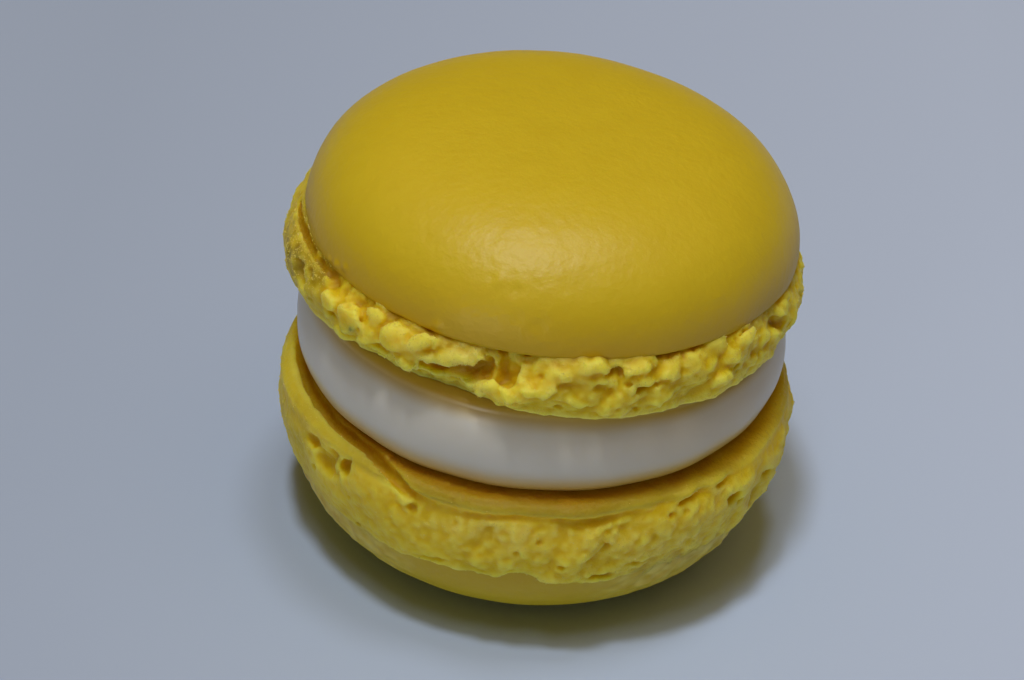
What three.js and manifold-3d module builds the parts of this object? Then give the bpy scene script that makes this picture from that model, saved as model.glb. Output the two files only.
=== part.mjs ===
// French macaron: two almond-meringue shells with a thick disc of white buttercream between them.
//
// Units are millimetres and +Z is up. The upright axis of the macaron is x = y = 0, and it stands on
// the small flat spot at the crown of its lower shell, at z = 0.
//
// Each shell has its own measure s, which is 0 on its flat base and grows towards the crown of its
// dome. A rough, crusty foot runs round the base, and a smooth dome rises out of the foot. Azimuths
// are degrees, counter-clockwise about +Z from +X, so the front of the macaron (-Y) is at 270.

import * as THREE from 'three';
import { mergeVertices } from 'three/addons/utils/BufferGeometryUtils.js';
import Module from 'manifold-3d';

const wasm = await Module();
wasm.setup();

// ---- Driving dimensions ----------------------------------------------------------------------

const LOWER_BASE_Z = 15.63; // the lower shell's flat base, which the cream lies on
const UPPER_BASE_Z = 22.95; // the upper shell's flat base, at the axis
const UPPER_TILT_X = -1.47; // degrees that the upper shell leans about X: higher at the front
const UPPER_TILT_Y = 1.86; // degrees that it leans about Y: lower at the right
const SEAM_LOWER = 0.1; // clearance between the cream and the lower shell
const SEAM_UPPER = 0.3; // clearance between the cream and the leaning upper shell

const ROUND = 112; // sides round a foot and round the edge of a dome
const CREAM_ROUND = 64; // sides round the cream

const LUMPS = 120; // crusty lumps crowded round each foot
const LUMP_REACH = [1.5, 2.9]; // the radius of a lump's own rounded cap
const LUMP_RISE = [0.05, 0.6]; // how far the cap stands out of the foot
const CREASE = 0.4; // how far the creases between the lumps sink into the foot
const PITS = 9; // burst bubbles scattered round the sides and back of each foot
const PIT_WIDE = [1.4, 3.8];
const PIT_TALL = [0.9, 1.7];
const PIT_DEEP = [0.7, 1.3];
const PIT_UNEVEN = 0.22; // how far a bubble's wall strays from an ellipsoid, as a share

// A foot station is { s, inset, rough }: the inset from the foot's widest radius, and the share of
// the crags that shows there. `ragged` is the share of the wavy limit of the foot against the dome,
// and `lip` the share of the uneven edge of the base skin.
// A swell, knob or pit is placed by azimuth and s, and `reach` and `spread` are how far a swell or a
// knob fades out, in millimetres along the foot. `calm` is the stretch with fainter crags.

const UPPER = {
  name: 'top_shell',
  seed: 5,
  height: 15.32, // flat base to crown
  footRadius: 21.5,
  baseRadius: 20.1,
  crownFlat: 0,
  domeRadius: 20.32,
  domeEdge: 5.9, // where the dome is widest
  domeStart: 0, // the angle of the dome's first ring, clear of the foot
  domePower: 3.3,
  domeWave: 0.12,
  raggedness: 0.12,
  stations: [
    { s: 0.12, inset: 0.75, rough: 0.15 },
    { s: 0.55, inset: 0.35, rough: 0.7 },
    { s: 1.2, inset: 0.12, rough: 1 },
    { s: 1.95, inset: 0, rough: 1 },
    { s: 2.7, inset: 0, rough: 1 },
    { s: 3.4, inset: 0.08, rough: 1 },
    { s: 4.1, inset: 0.25, rough: 1 },
    { s: 4.7, inset: 0.55, rough: 0.8, ragged: 0.5 },
    { s: 5.15, inset: 1.0, rough: 0.4, ragged: 1 },
    { s: 5.42, inset: 1.65, rough: 0, ragged: 1 },
    { s: 5.65, inset: 1.38, rough: 0, ragged: 0.6 },
  ],
  swells: [
    { azimuth: 203, reach: 9, rise: 0.7 },
    { azimuth: 345, reach: 10, rise: -0.35 },
  ],
  lip: [],
  calm: { azimuth: 192, reach: 7, share: 0.7 },
  knobs: [
    { azimuth: 223, s: 5.0, spread: 1.1, rise: 0.5 },
    { azimuth: 233, s: 4.4, spread: 1.2, rise: 0.5 },
    { azimuth: 241, s: 4.6, spread: 1.3, rise: 0.6 },
    { azimuth: 248, s: 5.1, spread: 1.0, rise: 0.5 },
    { azimuth: 264, s: 1.3, spread: 1.3, rise: 0.45 },
    { azimuth: 281, s: 4.9, spread: 1.1, rise: 0.45 },
    { azimuth: 292, s: 4.8, spread: 1.0, rise: 0.4 },
    { azimuth: 317, s: 4.5, spread: 1.2, rise: 0.35 },
    { azimuth: 271, s: 4.9, spread: 1.2, rise: -0.7 },
    { azimuth: 262, s: 5.0, spread: 1.0, rise: -0.6 },
  ],
  pits: [
    { azimuth: 209, s: 5.3, wide: 5.2, tall: 1.3, deep: 1.1 },
    { azimuth: 204, s: 3.7, wide: 3.6, tall: 1.5, deep: 1.1 },
    { azimuth: 231, s: 1.6, wide: 2.6, tall: 1.6, deep: 1.2 },
    { azimuth: 249, s: 3.0, wide: 4.2, tall: 1.7, deep: 2.0 },
    { azimuth: 256, s: 3.3, wide: 4.0, tall: 2.2, deep: 2.2 },
    { azimuth: 264, s: 3.6, wide: 2.6, tall: 2.0, deep: 1.6 },
    { azimuth: 269, s: 4.2, wide: 1.8, tall: 2.4, deep: 0.9 },
    { azimuth: 286, s: 3.9, wide: 2.2, tall: 1.0, deep: 0.9 },
    { azimuth: 295, s: 2.9, wide: 2.0, tall: 0.9, deep: 0.8 },
    { azimuth: 306, s: 5.1, wide: 4.6, tall: 0.9, deep: 0.9 },
    { azimuth: 312, s: 2.3, wide: 2.0, tall: 1.1, deep: 0.8 },
  ],
};

const LOWER = {
  name: 'bottom_shell',
  seed: 23,
  height: 15.63,
  footRadius: 21.85,
  baseRadius: 19.5,
  crownFlat: 8,
  domeRadius: 20.74,
  domeEdge: 6.43,
  domeStart: 8,
  domePower: 4.5,
  domeWave: 0.1,
  raggedness: 0.4,
  stations: [
    { s: 0.16, inset: 1.6, rough: 0, lip: 0.6 },
    { s: 0.55, inset: 1.15, rough: 0, lip: 1 },
    { s: 0.98, inset: 1.0, rough: 0, lip: 1 },
    { s: 1.4, inset: 1.35, rough: 0.3 },
    { s: 1.9, inset: 0.62, rough: 0.8 },
    { s: 2.6, inset: 0.15, rough: 1 },
    { s: 3.5, inset: 0, rough: 1 },
    { s: 4.4, inset: 0.08, rough: 1 },
    { s: 5.3, inset: 0.3, rough: 1, ragged: 0.3 },
    { s: 6.1, inset: 0.62, rough: 0.7, ragged: 0.8 },
    { s: 6.75, inset: 0.85, rough: 0.3, ragged: 1 },
    { s: 7.0, inset: 1.35, rough: 0, ragged: 1 },
  ],
  swells: [
    { azimuth: 205, reach: 12, rise: 0.25 },
    { azimuth: 292, reach: 9, rise: -0.15 },
  ],
  lip: [
    { azimuth: 220, reach: 4, rise: -0.5 },
    { azimuth: 265, reach: 8, rise: 0.35 },
    { azimuth: 282, reach: 3, rise: 0.3 },
    { azimuth: 296, reach: 3.5, rise: -0.35 },
    { azimuth: 309, reach: 3.5, rise: 0.35 },
    { azimuth: 340, reach: 8, rise: -0.3 },
  ],
  calm: { azimuth: 208, reach: 9, share: 0.75 },
  knobs: [
    { azimuth: 205, s: 2.2, spread: 1.8, rise: 0.35 },
    { azimuth: 236, s: 2.6, spread: 1.7, rise: 0.35 },
    { azimuth: 262, s: 2.4, spread: 1.5, rise: 0.3 },
    { azimuth: 278, s: 6.3, spread: 1.3, rise: 0.35 },
    { azimuth: 300, s: 4.4, spread: 1.6, rise: 0.3 },
    { azimuth: 327, s: 2.4, spread: 1.6, rise: 0.35 },
  ],
  pits: [
    { azimuth: 213, s: 2.6, wide: 2.6, tall: 1.3, deep: 0.9 },
    { azimuth: 219, s: 3.2, wide: 2.6, tall: 2.4, deep: 1.7 },
    { azimuth: 225, s: 2.7, wide: 2.4, tall: 1.9, deep: 1.8 },
    { azimuth: 245, s: 2.2, wide: 1.6, tall: 1.1, deep: 1.0 },
    { azimuth: 256, s: 1.5, wide: 5.0, tall: 1.0, deep: 1.2 },
    { azimuth: 267, s: 1.5, wide: 4.6, tall: 0.9, deep: 1.0 },
    { azimuth: 290, s: 1.3, wide: 5.2, tall: 1.2, deep: 1.2 },
    { azimuth: 304, s: 1.5, wide: 2.6, tall: 0.9, deep: 0.9 },
    { azimuth: 260, s: 7.2, wide: 4.2, tall: 1.3, deep: 0.9 },
    { azimuth: 272, s: 7.2, wide: 3.4, tall: 1.3, deep: 0.9 },
    { azimuth: 318, s: 3.5, wide: 2.4, tall: 2.0, deep: 1.3 },
  ],
};

// The front of both feet is placed pit by pit, so scattered pits keep out of these azimuths.
const PLACED_FROM = 196;
const PLACED_TO = 326;

// A dome narrows to its crown in these steps of the angle that runs from 0 at its edge to 90 at its
// crown, and the rings that end at the marked steps have half the sides of the ones before.
const DOME_STEPS = [
  { angle: 14 },
  { angle: 28 },
  { angle: 42, halve: true },
  { angle: 56 },
  { angle: 70, halve: true },
  { angle: 82 },
];

// The cream's stations, by height above its underside as a share of its thickness.
const CREAM_RADIUS = 20.45;
const CREAM = [
  { share: 0, inset: 1.35 },
  { share: 0.06, inset: 0.8 },
  { share: 0.2, inset: 0.28 },
  { share: 0.45, inset: 0 },
  { share: 0.72, inset: 0.08 },
  { share: 0.92, inset: 0.4 },
  { share: 1, inset: 0.85 },
];
const CREAM_WAVE = 0.12;

const FINISH = {
  shell: { color: 0xd8b62b, roughness: 0.55, metalness: 0 },
  cream: { color: 0xf1eee4, roughness: 0.5, metalness: 0 },
};

// ---- Helpers ---------------------------------------------------------------------------------

const radians = THREE.MathUtils.degToRad;
const lerp = THREE.MathUtils.lerp;

/** Repeatable random numbers from 0 to 1, by a linear congruential rule. */
function randomSource(seed) {
  let state = seed >>> 0;
  return () => {
    state = (Math.imul(1664525, state) + 1013904223) >>> 0;
    return state / 2 ** 32;
  };
}

/** Signed difference of two azimuths, in degrees from -180 to 180. */
function azimuthGap(a, b) {
  return THREE.MathUtils.euclideanModulo(a - b + 180, 360) - 180;
}

/** A bell that is 1 at zero distance and fades out over `spread`. */
function bell(distance, spread) {
  return Math.exp(-(distance * distance) / (2 * spread * spread));
}

/** Sum of broad swells at an azimuth, measured along a circle of the given radius. */
function swellAt(swells, azimuth, radius) {
  return swells.reduce((sum, swell) => {
    const along = radians(azimuthGap(azimuth, swell.azimuth)) * radius;
    return sum + swell.rise * bell(along, swell.reach);
  }, 0);
}

/** A gentle wave round a circle, made of three unlike periods, from about -1 to 1. */
function wave(azimuth, seed) {
  const turn = radians(azimuth);
  return 0.45 * Math.sin(3 * turn + seed) + 0.35 * Math.sin(7 * turn + 2.1 * seed)
    + 0.3 * Math.sin(16 * turn + 3.7 * seed);
}

// ---- Shells ----------------------------------------------------------------------------------

/** The foot's crusty lumps, spread evenly round it. */
function lumpsOf(shell) {
  const random = randomSource(shell.seed);
  const top = shell.stations.at(-2).s;
  return Array.from({ length: LUMPS }, (_, i) => ({
    azimuth: (360 * (i + random())) / LUMPS,
    s: lerp(0.3, top, random()),
    reach: lerp(...LUMP_REACH, random()),
    rise: lerp(...LUMP_RISE, random()),
  }));
}

/** The placed pits, and then scattered ones that keep clear of the placed stretch. */
function pitsOf(shell) {
  const random = randomSource(shell.seed + 1);
  const free = 360 - (PLACED_TO - PLACED_FROM);
  const top = shell.stations.at(-2).s;
  const pits = Array.from({ length: PITS }, (_, i) => ({
    azimuth: PLACED_TO + (free * (i + lerp(0.2, 0.8, random()))) / PITS,
    s: lerp(0.3 * top, 0.85 * top, random()),
    wide: lerp(...PIT_WIDE, random()),
    tall: lerp(...PIT_TALL, random()),
    deep: lerp(...PIT_DEEP, random()),
    roll: lerp(-35, 35, random()),
  }));
  return [...shell.pits, ...pits];
}

/** How far the crags lift the foot's surface: the highest cap there, or a crease, and the knobs. */
function liftAt(shell, lumps, azimuth, s) {
  const away = (spot) => {
    const along = radians(azimuthGap(azimuth, spot.azimuth)) * shell.footRadius;
    return Math.hypot(along, s - spot.s);
  };
  const caps = lumps.map((lump) => lump.rise - (lump.rise + CREASE) * (away(lump) / lump.reach) ** 2);
  const { calm } = shell;
  const calmness = calm.share
    * bell(radians(azimuthGap(azimuth, calm.azimuth)) * shell.footRadius, calm.reach);
  const knobs = shell.knobs.reduce((sum, knob) => sum + knob.rise * bell(away(knob), knob.spread), 0);
  return (1 - calmness) * Math.max(-CREASE, ...caps) + knobs;
}

/** Radius of the foot's plain body at an azimuth and s, between the stations on either side. */
function bodyRadius(shell, azimuth, s) {
  const above = shell.stations.find((station) => station.s > s) ?? shell.stations.at(-1);
  const below = shell.stations.findLast((station) => station.s <= s) ?? shell.stations[0];
  const share = above.s > below.s ? (s - below.s) / (above.s - below.s) : 0;
  const inset = lerp(below.inset, above.inset, share);
  return shell.footRadius + swellAt(shell.swells, azimuth, shell.footRadius) - inset;
}

/** Point of a foot station at an azimuth: its radius and its s. */
function footPoint(shell, lumps, station, azimuth) {
  const s = station.s + (station.ragged ?? 0) * shell.raggedness * wave(azimuth, shell.seed);
  const body = shell.footRadius + swellAt(shell.swells, azimuth, shell.footRadius);
  const lip = (station.lip ?? 0) * swellAt(shell.lip, azimuth, shell.footRadius);
  const lift = station.rough * liftAt(shell, lumps, azimuth, s);
  return { radius: body - station.inset + lip + lift, s };
}

/** Point of the dome: r^n falls as the square of the cosine, and the height grows as the sine. */
function domePoint(shell, angle, azimuth) {
  const turn = radians(angle);
  const rise = shell.height - shell.domeEdge;
  const radius = shell.domeRadius * Math.cos(turn) ** (2 / shell.domePower);
  const fade = Math.cos(turn);
  return {
    radius: radius + fade * shell.domeWave * wave(azimuth, shell.seed + 2),
    s: shell.domeEdge + rise * Math.sin(turn),
  };
}

/** One closed ring of a shell: `sides` points whose radius and s come from a function of azimuth. */
function ring(sides, pointAt) {
  return Array.from({ length: sides }, (_, i) => {
    const azimuth = (360 * i) / sides;
    const { radius, s } = pointAt(azimuth);
    const turn = radians(azimuth);
    return new THREE.Vector3(radius * Math.cos(turn), radius * Math.sin(turn), s);
  });
}

/** The rings of a shell from the edge of its flat base to its crown. */
function shellRings(shell) {
  const lumps = lumpsOf(shell);
  const rings = [ring(ROUND, () => ({ radius: shell.baseRadius, s: 0 }))];
  for (const station of shell.stations) {
    rings.push(ring(ROUND, (azimuth) => footPoint(shell, lumps, station, azimuth)));
  }
  rings.push(ring(ROUND, (azimuth) => domePoint(shell, shell.domeStart, azimuth)));
  let sides = ROUND;
  for (const step of DOME_STEPS) {
    if (step.halve) sides /= 2;
    rings.push(ring(sides, (azimuth) => domePoint(shell, step.angle, azimuth)));
  }
  if (shell.crownFlat > 0) {
    rings.pop();
    rings.push(ring(sides, () => ({ radius: shell.crownFlat, s: shell.height })));
  }
  return rings;
}

/**
 * A closed solid from a stack of rings: a fan closes the first and the last ring, and each pair is
 * joined by a band. A ring may have half as many sides as the one before it.
 */
function solidFromRings(rings, firstS, lastS) {
  const points = [new THREE.Vector3(0, 0, firstS), ...rings.flat(), new THREE.Vector3(0, 0, lastS)];
  const last = points.length - 1;
  const faces = [];
  let start = 1;
  rings[0].forEach((_, i) => faces.push(0, 1 + ((i + 1) % rings[0].length), 1 + i));
  for (let k = 0; k + 1 < rings.length; k += 1) {
    const here = rings[k].length;
    const next = rings[k + 1].length;
    const a = (i) => start + (i % here);
    const b = (i) => start + here + (i % next);
    for (let i = 0; i < next; i += 1) {
      if (here === next) {
        faces.push(a(i), a(i + 1), b(i + 1), a(i), b(i + 1), b(i));
      } else {
        faces.push(a(2 * i), a(2 * i + 1), b(i), a(2 * i + 1), a(2 * i + 2), b(i + 1));
        faces.push(a(2 * i + 1), b(i + 1), b(i));
      }
    }
    start += here;
  }
  const crown = rings.at(-1).length;
  for (let i = 0; i < crown; i += 1) faces.push(start + i, start + ((i + 1) % crown), last);
  const geometry = new THREE.BufferGeometry().setFromPoints(points);
  geometry.setIndex(faces);
  return geometry;
}

/** A closed geometry as a solid that can be cut. */
function toSolid(geometry) {
  const bare = geometry.clone();
  bare.deleteAttribute('normal');
  bare.deleteAttribute('uv');
  const merged = mergeVertices(bare);
  return new wasm.Manifold(new wasm.Mesh({
    numProp: 3,
    vertProperties: Float32Array.from(merged.attributes.position.array),
    triVerts: Uint32Array.from(merged.index.array),
  }));
}

/** A solid as a geometry that can be shown. */
function toGeometry(solid) {
  const mesh = solid.getMesh();
  const geometry = new THREE.BufferGeometry();
  geometry.setAttribute('position', new THREE.BufferAttribute(mesh.vertProperties, 3));
  geometry.setIndex(new THREE.BufferAttribute(mesh.triVerts, 1));
  return geometry;
}

/** A burst bubble: an uneven ellipsoid centred on the foot's surface and turned to face outwards. */
function pitGeometry(shell, pit) {
  const bubble = new THREE.IcosahedronGeometry(1, 1);
  const corners = bubble.attributes.position;
  const corner = new THREE.Vector3();
  for (let i = 0; i < corners.count; i += 1) {
    corner.fromBufferAttribute(corners, i);
    const uneven = Math.sin(4 * corner.x + pit.azimuth) * Math.cos(5 * corner.y + 3 * corner.z);
    corner.multiplyScalar(1 + PIT_UNEVEN * uneven);
    corners.setXYZ(i, corner.x, corner.y, corner.z);
  }
  bubble.scale(pit.deep, pit.wide / 2, pit.tall / 2);
  bubble.rotateX(radians(pit.roll ?? 0));
  bubble.translate(bodyRadius(shell, pit.azimuth, pit.s), 0, pit.s);
  bubble.rotateZ(radians(pit.azimuth));
  return bubble;
}

/** A shell in its own frame, with its flat base in the plane z = 0 and its crown above. */
function shellGeometry(shell) {
  const rings = shellRings(shell);
  let solid = toSolid(solidFromRings(rings, 0, shell.height));
  for (const pit of pitsOf(shell)) solid = solid.subtract(toSolid(pitGeometry(shell, pit)));
  return toGeometry(solid);
}

/** A shape mirrored in the plane z = 0, so that what stood above it hangs below at its azimuth. */
function turnedOver(geometry) {
  const over = geometry.clone().scale(1, 1, -1);
  const corners = over.index.array;
  for (let i = 0; i < corners.length; i += 3) {
    [corners[i], corners[i + 1]] = [corners[i + 1], corners[i]];
  }
  return over;
}

// ---- Cream -----------------------------------------------------------------------------------

/** The disc of cream: its underside is level, and its top lies along the leaning upper shell. */
function creamGeometry() {
  const floor = LOWER_BASE_Z + SEAM_LOWER;
  const ceiling = UPPER_BASE_Z - SEAM_UPPER;
  const lean = (x, y) => -x * Math.tan(radians(UPPER_TILT_Y)) + y * Math.tan(radians(UPPER_TILT_X));
  const rings = CREAM.map(({ share, inset }) => {
    const flat = ring(CREAM_ROUND, (azimuth) => ({
      radius: CREAM_RADIUS - inset + CREAM_WAVE * wave(azimuth, 1),
      s: lerp(floor, ceiling, share),
    }));
    flat.forEach((point) => { point.z += share * lean(point.x, point.y); });
    return flat;
  });
  return solidFromRings(rings, floor, ceiling);
}

// ---- Assembly --------------------------------------------------------------------------------

/** A named piece with its own finish. */
function piece(name, geometry, finish) {
  geometry.computeVertexNormals();
  const mesh = new THREE.Mesh(geometry, new THREE.MeshStandardMaterial(finish));
  mesh.name = name;
  return mesh;
}

const lower = piece(LOWER.name, turnedOver(shellGeometry(LOWER)), FINISH.shell);
lower.position.z = LOWER_BASE_Z;

const cream = piece('filling', creamGeometry(), FINISH.cream);

const upper = new THREE.Group();
upper.add(piece(UPPER.name, shellGeometry(UPPER), FINISH.shell));
upper.position.z = UPPER_BASE_Z;
upper.rotation.set(radians(UPPER_TILT_X), radians(UPPER_TILT_Y), 0);

const macaron = new THREE.Group();
macaron.add(lower, cream, upper);

export default macaron;
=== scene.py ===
"""A French macaron: two almond-meringue shells pressed on a thick disc of white buttercream.

Each shell is a smooth domed skin over a rough, porous foot. The foot is a level surface in a ring
of space, so that burst bubbles can undercut it; the skin and the cream are surfaces of revolution
made uneven. Shapes are worked out in millimetres and turned to metres when a mesh is made.

Each shell has its own measure s, which is 0 on its flat base and grows towards the crown of its
dome. Azimuths are degrees, counter-clockwise about +Z from +X, so the front (-Y) is at 270.
"""

import logging
import math
from collections.abc import Sequence
from dataclasses import dataclass
from enum import Enum
from itertools import product

import bpy
import numpy as np
from mathutils import Matrix, Vector


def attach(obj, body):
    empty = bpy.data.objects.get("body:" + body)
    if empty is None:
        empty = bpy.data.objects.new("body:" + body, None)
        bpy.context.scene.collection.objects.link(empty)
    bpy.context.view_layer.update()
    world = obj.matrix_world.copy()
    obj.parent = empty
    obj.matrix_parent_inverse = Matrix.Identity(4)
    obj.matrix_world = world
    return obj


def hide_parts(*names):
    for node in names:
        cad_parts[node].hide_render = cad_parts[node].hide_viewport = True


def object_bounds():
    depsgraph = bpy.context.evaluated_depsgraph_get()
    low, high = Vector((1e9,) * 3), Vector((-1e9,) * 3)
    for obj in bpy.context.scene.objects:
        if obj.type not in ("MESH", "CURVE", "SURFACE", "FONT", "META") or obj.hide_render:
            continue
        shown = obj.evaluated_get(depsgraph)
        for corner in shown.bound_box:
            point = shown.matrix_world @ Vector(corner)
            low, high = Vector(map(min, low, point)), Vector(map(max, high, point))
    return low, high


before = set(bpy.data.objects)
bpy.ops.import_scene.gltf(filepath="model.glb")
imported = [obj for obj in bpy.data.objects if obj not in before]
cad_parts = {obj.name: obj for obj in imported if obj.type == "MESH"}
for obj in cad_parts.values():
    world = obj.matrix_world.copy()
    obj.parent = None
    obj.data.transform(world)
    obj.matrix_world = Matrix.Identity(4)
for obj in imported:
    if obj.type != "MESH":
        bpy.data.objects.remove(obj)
CAD_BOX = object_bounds()

LOG = logging.getLogger("macaron")
Array = np.ndarray
MM = 0.001


# ---- Numbers -------------------------------------------------------------------------------------


class Dice:
    """Repeatable random numbers by a linear congruential rule."""

    def __init__(self, seed: int) -> None:
        """Starts the row of numbers at a seed."""
        self.state = seed % 2**32

    def roll(self) -> float:
        """The next number from 0 to 1."""
        self.state = (1664525 * self.state + 1013904223) % 2**32
        return self.state / 2**32

    def between(self, low: float, high: float) -> float:
        """The next number between two limits."""
        return low + (high - low) * self.roll()


def turn_gap(a: Array, b: float) -> Array:
    """Signed difference of azimuths a and b, in degrees from -180 to 180."""
    return (a - b + 180.0) % 360.0 - 180.0


def bell(distance: Array, spread: float) -> Array:
    """A bell curve, 1 at zero distance, that fades out over spread."""
    return np.exp(-(distance**2) / (2.0 * spread**2))


def smooth_step(x: Array, low: float, high: float) -> Array:
    """0 below low, 1 above high, and an even S-curve between them."""
    t = np.clip((x - low) / (high - low), 0.0, 1.0)
    return t * t * (3.0 - 2.0 * t)


def soft_max(a: Array, b: Array, blend: float) -> Array:
    """The larger of two fields, with the crease between them rounded over a width of blend."""
    mix = np.maximum(blend - np.abs(a - b), 0.0) / blend
    return np.maximum(a, b) + mix * mix * blend / 4.0


def soft_min(a: Array, b: Array, blend: float) -> Array:
    """The smaller of two fields, with the crease between them rounded over a width of blend."""
    return -soft_max(-a, -b, blend)


def through(x: Array, xs: Array, ys: Array) -> Array:
    """A curve through points: on each stretch a cubic whose end slopes are those of the chords
    across its ends.

    Args:
        x: Where to read the curve; it is flat beyond the first and last points.
        xs: The points' places, rising.
        ys: The points' values.

    Returns:
        The curve's values at x.
    """
    slopes = np.gradient(ys, xs)
    x = np.clip(x, xs[0], xs[-1])
    i = np.clip(np.searchsorted(xs, x) - 1, 0, len(xs) - 2)
    width = xs[i + 1] - xs[i]
    t = (x - xs[i]) / width
    start = ys[i] * (1 + 2 * t) * (1 - t) ** 2 + slopes[i] * width * t * (1 - t) ** 2
    return start + ys[i + 1] * t**2 * (3 - 2 * t) + slopes[i + 1] * width * t**2 * (t - 1)


def wave(azimuth: Array, seed: float) -> Array:
    """A gentle wave round a circle: the sum of sines of three, seven and sixteen periods.

    Args:
        azimuth: Where on the circle, in degrees.
        seed: Shifts the sines, each by a different amount.

    Returns:
        The wave, from about -1 to 1.
    """
    turn = np.radians(azimuth)
    slow = 0.45 * np.sin(3 * turn + seed) + 0.35 * np.sin(7 * turn + 2.1 * seed)
    return slow + 0.3 * np.sin(16 * turn + 3.7 * seed)


def grain(x: Array, y: Array, z: Array, size: float, seed: int) -> Array:
    """Smooth random field from -1 to 1: a random value at each corner of a lattice of cubes, and
    between the corners a blend that follows an S-curve along each axis.

    Args:
        x, y, z: Coordinates, arrays of one shape.
        size: Side of the lattice's cubes, in the coordinates' unit.
        seed: Picks one field of many.

    Returns:
        The field at each point.
    """
    cells, shares = [], []
    for axis in (x, y, z):
        scaled = axis / size + 512.0
        whole = np.floor(scaled)
        t = (scaled - whole).astype(np.float32)
        cells.append(whole.astype(np.uint32))
        shares.append(t * t * (3.0 - 2.0 * t))
    total = np.zeros(np.shape(x), np.float32)
    primes = (np.uint32(2654435761), np.uint32(2246822519), np.uint32(3266489917))
    for corner in product((0, 1), repeat=3):
        key = np.full(np.shape(x), (seed * 668265263) % 2**32, np.uint32)
        weight = np.ones(np.shape(x), np.float32)
        for cell, share, prime, step in zip(cells, shares, primes, corner):
            key ^= (cell + np.uint32(step)) * prime
            key ^= key >> np.uint32(15)
            weight *= share if step else 1.0 - share
        key *= np.uint32(739982445)
        key ^= key >> np.uint32(13)
        total += weight * (key.astype(np.float32) / 2.0**31 - 1.0)
    return total


# ---- Meshes --------------------------------------------------------------------------------------


def build_mesh(name: str, points: Array, faces: list, marks: dict[str, Array]) -> bpy.types.Object:
    """Makes an object at the origin from points in millimetres.

    Args:
        name: The piece's name.
        points: Corners, one row of three each, in millimetres.
        faces: Corner numbers of each face.
        marks: Values per corner by name, kept as attributes that a finish can read.

    Returns:
        The object, smooth shaded and linked to the scene.
    """
    mesh = bpy.data.meshes.new(name)
    mesh.from_pydata((points * MM).tolist(), [], faces)
    for mark, values in marks.items():
        layer = mesh.attributes.new(mark, "FLOAT", "POINT")
        layer.data.foreach_set("value", np.ascontiguousarray(values, np.float32))
    mesh.shade_smooth()
    mesh.update()
    made = bpy.data.objects.new(name, mesh)
    bpy.context.scene.collection.objects.link(made)
    return made


def inside_box(points: Array) -> Array:
    """Points in millimetres, moved to just inside the box of the solids where they pass it."""
    low, high = np.array(CAD_BOX[0]) / MM, np.array(CAD_BOX[1]) / MM
    return np.clip(points, low + [0.01, 0.01, 0.0], high - 0.01)


def main_piece(count: int, faces: Array) -> Array:
    """Finds the largest connected piece of a mesh. Each corner starts with its own number, and the
    numbers of joined corners are made alike, the lower one winning, until nothing changes.

    Args:
        count: Number of corners.
        faces: Corner numbers of each quad.

    Returns:
        For each corner, whether it belongs to that piece.
    """
    label = np.arange(count)
    ends = np.concatenate([faces[:, :2], faces[:, 1:3], faces[:, 2:]])
    while True:
        roots = label[ends]
        low = roots.min(axis=1)
        if np.array_equal(roots[:, 0], roots[:, 1]):
            return label == np.bincount(label).argmax()
        np.minimum.at(label, roots[:, 0], low)
        np.minimum.at(label, roots[:, 1], low)
        label = label[label]


def band_faces(rows: int, sides: int) -> Array:
    """Joins each two neighbours of several closed rows of corners, numbered row by row.

    Args:
        rows: Number of rows.
        sides: Number of corners in each row.

    Returns:
        Corner numbers of each quad.
    """
    row, side = np.meshgrid(np.arange(rows - 1), np.arange(sides), indexing="ij")
    here, ahead = row * sides + side, row * sides + (side + 1) % sides
    return np.stack([here, ahead, ahead + sides, here + sides], -1).reshape(-1, 4)


# ---- A ring of space -----------------------------------------------------------------------------


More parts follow.
